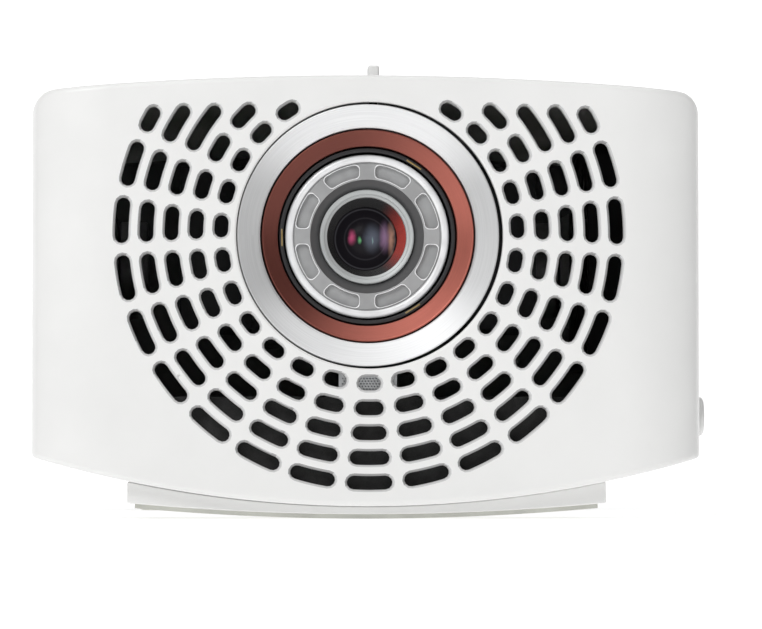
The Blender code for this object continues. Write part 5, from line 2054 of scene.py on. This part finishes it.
@dataclass
class Inside:
    """What sits inside: the felt and strip behind the grille, the light engine, its heat sinks and the boards."""

    shop: Workshop
    outline: BodyOutline
    lens: Vector
    hole_pitch: float = 0.6
    hole: float = 0.17
    row_share: float = 0.87
    first_row: float = 0.9
    margin: float = 1.2

    def build(self) -> None:
        """Makes the pieces behind the grille, rounds the plain ones and fills the boards."""
        self.felt()
        self.strip()
        for node, edge in (
            ("light_engine", 0.5), ("engine_lid", 0.3), ("red_heat_sink", 0.15), ("green_heat_sink", 0.15),
            ("red_led_board", 0.1), ("green_led_board", 0.1), ("blue_led_board", 0.1), ("dmd_board", 0.1),
            ("main_board", 0.15), ("latch_bar", 0.3), ("foot_hinge_pin", 0.2), ("lens_mount", 0.3),
            ("heat_pipe", 0.0),
        ):
            self.rounded(node, edge)
        self.chips("main_board", 0.009, 11)
        self.chips("dmd_board", 0.006, 4)

    def felt(self) -> None:
        """The felt behind the lower slots, whose face and cut edge are slightly wavy."""
        low, high = self.shop.box("grille_felt")
        across, up = 120, 24
        mesh = bmesh.new()
        sheets = []
        for y, wave in ((low.y + 0.12, 0.1), (high.y, 0.0)):
            rows = []
            for row in range(up + 1):
                line = []
                for step in range(across + 1):
                    x = low.x + (high.x - low.x) * step / across
                    floor = self.outline.belly_z(x, self.outline.wall + 1)
                    top = high.z - 0.12 * (1 + math.sin(x * 2.1) * math.cos(x * 0.7))
                    z = floor + (top - floor) * row / up
                    ripple = wave * math.sin(x * 1.3 + z * 0.8) * math.cos(z * 1.7 - x * 0.6)
                    line.append(mesh.verts.new((x, y + ripple, z)))
                rows.append(line)
            for row in range(up):
                for step in range(across):
                    lower, upper = rows[row], rows[row + 1]
                    mesh.faces.new((lower[step], lower[step + 1], upper[step + 1], upper[step]))
            sheets.append(rows)
        border = [(0, s) for s in range(across)] + [(r, across) for r in range(up)]
        border += [(up, s) for s in range(across, 0, -1)] + [(r, 0) for r in range(up, 0, -1)]
        front, back = sheets
        for index, (row, step) in enumerate(border):
            next_row, next_step = border[(index + 1) % len(border)]
            mesh.faces.new((front[row][step], front[next_row][next_step], back[next_row][next_step], back[row][step]))
        bmesh.ops.recalc_face_normals(mesh, faces=mesh.faces)
        self.shop.join(thing("grille_felt_sheet", mesh), "grille_felt")

    def strip(self) -> None:
        """The finely pierced strip behind the lowest slot of the first ring."""
        shop = self.shop
        low, high = shop.box("front_bracket")
        outline = panel((low.x, low.z), (high.x, high.z), 0.6)
        plate = thing("front_bracket_pierced", pillow(outline, low.y, high.y, 0.15))
        step, rise = self.hole_pitch, self.hole_pitch * self.row_share
        count = int((high.x - low.x - self.margin) / step)
        for row in range(int((high.z - low.z - self.margin) / rise)):
            shift = (row % 2 - 0.5) * step / 2 - (count - 1) * step / 2
            punch = thing("punch", lathe(rod(self.hole, low.y - 1, high.y + 1), Vector(), segments=10))
            start = (shift, 0.0, low.z + self.first_row + row * rise)
            carve(plate, shop.along("punches", punch, count, start, (step, 0.0, 0.0)))
        shop.join(plate, "front_bracket")

    def rounded(self, node: str, edge: float) -> None:
        """A copy of a plain node with its edges rounded."""
        mesh = bmesh.new()
        mesh.from_mesh(self.shop.nodes[node].data)
        bmesh.ops.remove_doubles(mesh, verts=mesh.verts, dist=1e-6)
        bmesh.ops.dissolve_limit(mesh, angle_limit=math.radians(1.0), verts=mesh.verts, edges=mesh.edges)
        bmesh.ops.transform(mesh, matrix=Matrix.Scale(1 / MM, 4), verts=mesh.verts)
        made = thing(f"{node}_rounded", mesh)
        if edge > 0:
            change = made.modifiers.new("edges", "BEVEL")
            change.width, change.segments, change.limit_method = edge * MM, 2, "ANGLE"
            change.angle_limit = math.radians(40)
            settle(made)
        self.shop.join(made, node, sharp=40.0)

    def chips(self, board: str, spacing: float, seed: int) -> None:
        """Small parts scattered over the top of a board."""
        shop = self.shop
        low, high = shop.box(board)
        sheet = bmesh.new()
        side, end = (2.0, 2.0) if board == "dmd_board" else (4.0, 18.0)
        left, right, near, far = low.x + side, high.x - side, low.y + side, high.y - end
        corners = ((left, near), (right, near), (right, far), (left, far))
        sheet.faces.new([sheet.verts.new((x, y, high.z)) for x, y in corners])
        base = thing(f"{board}_parts", sheet)
        half, lead = 2.2, 2.7
        leads = [block((-lead, y - 0.15, 0.05), (lead, y + 0.15, 0.25)) for y in (-1.5, -0.5, 0.5, 1.5)]
        chip = thing("chip", merged([block((-half, -half, 0.2), (half, half, 1.1), 0.12, 1)] + leads))
        made = shop.scatter.run(base.name, {"Piece": chip, "Spacing": spacing, "Seed": seed}, base)
        bpy.data.objects.remove(chip)
        shop.join(made, board, Slot.BLACK, replace=False)


# Studio


@dataclass
class Studio:
    """A pale floor that sweeps up into a backdrop, three soft lights and the camera."""

    width: float = 6000.0
    depth: float = 2600.0
    height: float = 3000.0
    sweep_radius: float = 700.0
    camera_from: Place = (-35.0, -1010.0, 10.0)
    camera_to: Place = (2.5, -110.0, 40.3)
    focal: float = 216.0

    def build(self) -> None:
        """Makes the backdrop, the lights, the world and the camera."""
        self.backdrop()
        self.light("key", (-620, -1250, 900), (0, -60, 50), (900, 700), 11.3)
        self.light("overhead", (0, -150, 1300), (0, -20, 60), (1500, 1100), 6.3)
        self.light("fill", (1000, -800, 420), (0, -60, 50), (700, 700), 0.03)
        world = bpy.data.worlds.new("studio")
        world.use_nodes = True
        background = world.node_tree.nodes["Background"]
        background.inputs["Color"].default_value = (1.0, 1.0, 1.0, 1.0)
        background.inputs["Strength"].default_value = 0.215
        bpy.context.scene.world = world
        bpy.context.scene.view_settings.view_transform = "Standard"
        self.camera()

    def backdrop(self) -> None:
        """The floor, a quarter-round sweep and the wall behind."""
        centre = self.depth - self.sweep_radius
        profile = [(-self.depth, 0.0), (centre, 0.0)]
        for step in range(1, 17):
            angle = math.pi / 2 * step / 16
            radius = self.sweep_radius
            profile.append((centre + radius * math.sin(angle), radius * (1 - math.cos(angle))))
        profile.append((self.depth, self.height))
        mesh = bmesh.new()
        rows = [[mesh.verts.new((side * self.width / 2, y, z)) for y, z in profile] for side in (-1, 1)]
        for index in range(len(profile) - 1):
            mesh.faces.new((rows[0][index], rows[1][index], rows[1][index + 1], rows[0][index + 1]))
        sheet = thing("studio_sheet", mesh)
        sheet.data.shade_smooth()
        material = bpy.data.materials.new("studio_paper")
        material.use_nodes = True
        shader = material.node_tree.nodes["Principled BSDF"]
        shader.inputs["Base Color"].default_value = (0.56, 0.56, 0.56, 1.0)
        shader.inputs["Roughness"].default_value = 0.9
        graph = Graph(material.node_tree)
        _, y, _ = graph.axes(graph.out("ShaderNodeTexCoord", output="Object"))
        far = y.ramp(0.3, 1.3)
        glow = graph.mix(far, (0.60, 0.60, 0.60), (1.0, 1.0, 1.0))
        graph.tree.links.new(glow.socket, shader.inputs["Emission Color"])
        shader.inputs["Emission Strength"].default_value = 1.0
        sheet.data.materials.append(material)

    def light(self, name: str, place: Place, target: Place, size: Point, power: float) -> None:
        """One rectangular soft light.

        Args:
            name: Its name.
            place: Where it hangs, in millimetres.
            target: Where it points.
            size: Its width and height.
            power: Its power in watts.
        """
        lamp = bpy.data.lights.new(name, "AREA")
        lamp.shape, lamp.size, lamp.size_y, lamp.energy = "RECTANGLE", size[0] * MM, size[1] * MM, power
        self.aim(name, lamp, place, target)

    def aim(self, name: str, data: bpy.types.ID, place: Place, target: Place) -> Thing:
        """Puts a light or the camera at a place and points it at a target."""
        made = bpy.data.objects.new(name, data)
        made.location = Vector(place) * MM
        made.rotation_euler = (Vector(target) - Vector(place)).to_track_quat("-Z", "Y").to_euler()
        bpy.context.scene.collection.objects.link(made)
        return made

    def camera(self) -> None:
        """The camera: low in front and a little to the left, with a long lens."""
        lens = bpy.data.cameras.new("camera")
        lens.lens, lens.sensor_width = self.focal, 36.0
        lens.clip_start, lens.clip_end = 0.01, 100.0
        bpy.context.scene.camera = self.aim("camera", lens, self.camera_from, self.camera_to)


def main() -> None:
    """Builds every sub-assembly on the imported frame, then the studio."""
    logging.basicConfig(level=logging.INFO, format="%(message)s")
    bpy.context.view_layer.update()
    shop = Workshop(frame)
    low, high = shop.box("front_cover")
    outline = BodyOutline(half=(high.x - low.x) / 2, top=high.z, belly=low.z)
    lens = Vector((0.0, 0.0, shop.middle("bezel_ring").z))
    FrontCover(shop, outline, lens).build()
    LensFront(shop, lens).build()
    LensCell(shop, lens).build()
    Shells(shop, outline).build()
    RearPanel(shop, outline).build()
    Standing(shop, outline).build()
    Cooling(shop).build()
    Sound(shop).build()
    Inside(shop, outline, lens).build()
    shop.dress_rest()
    Studio().build()


if __name__ == "__main__":
    main()
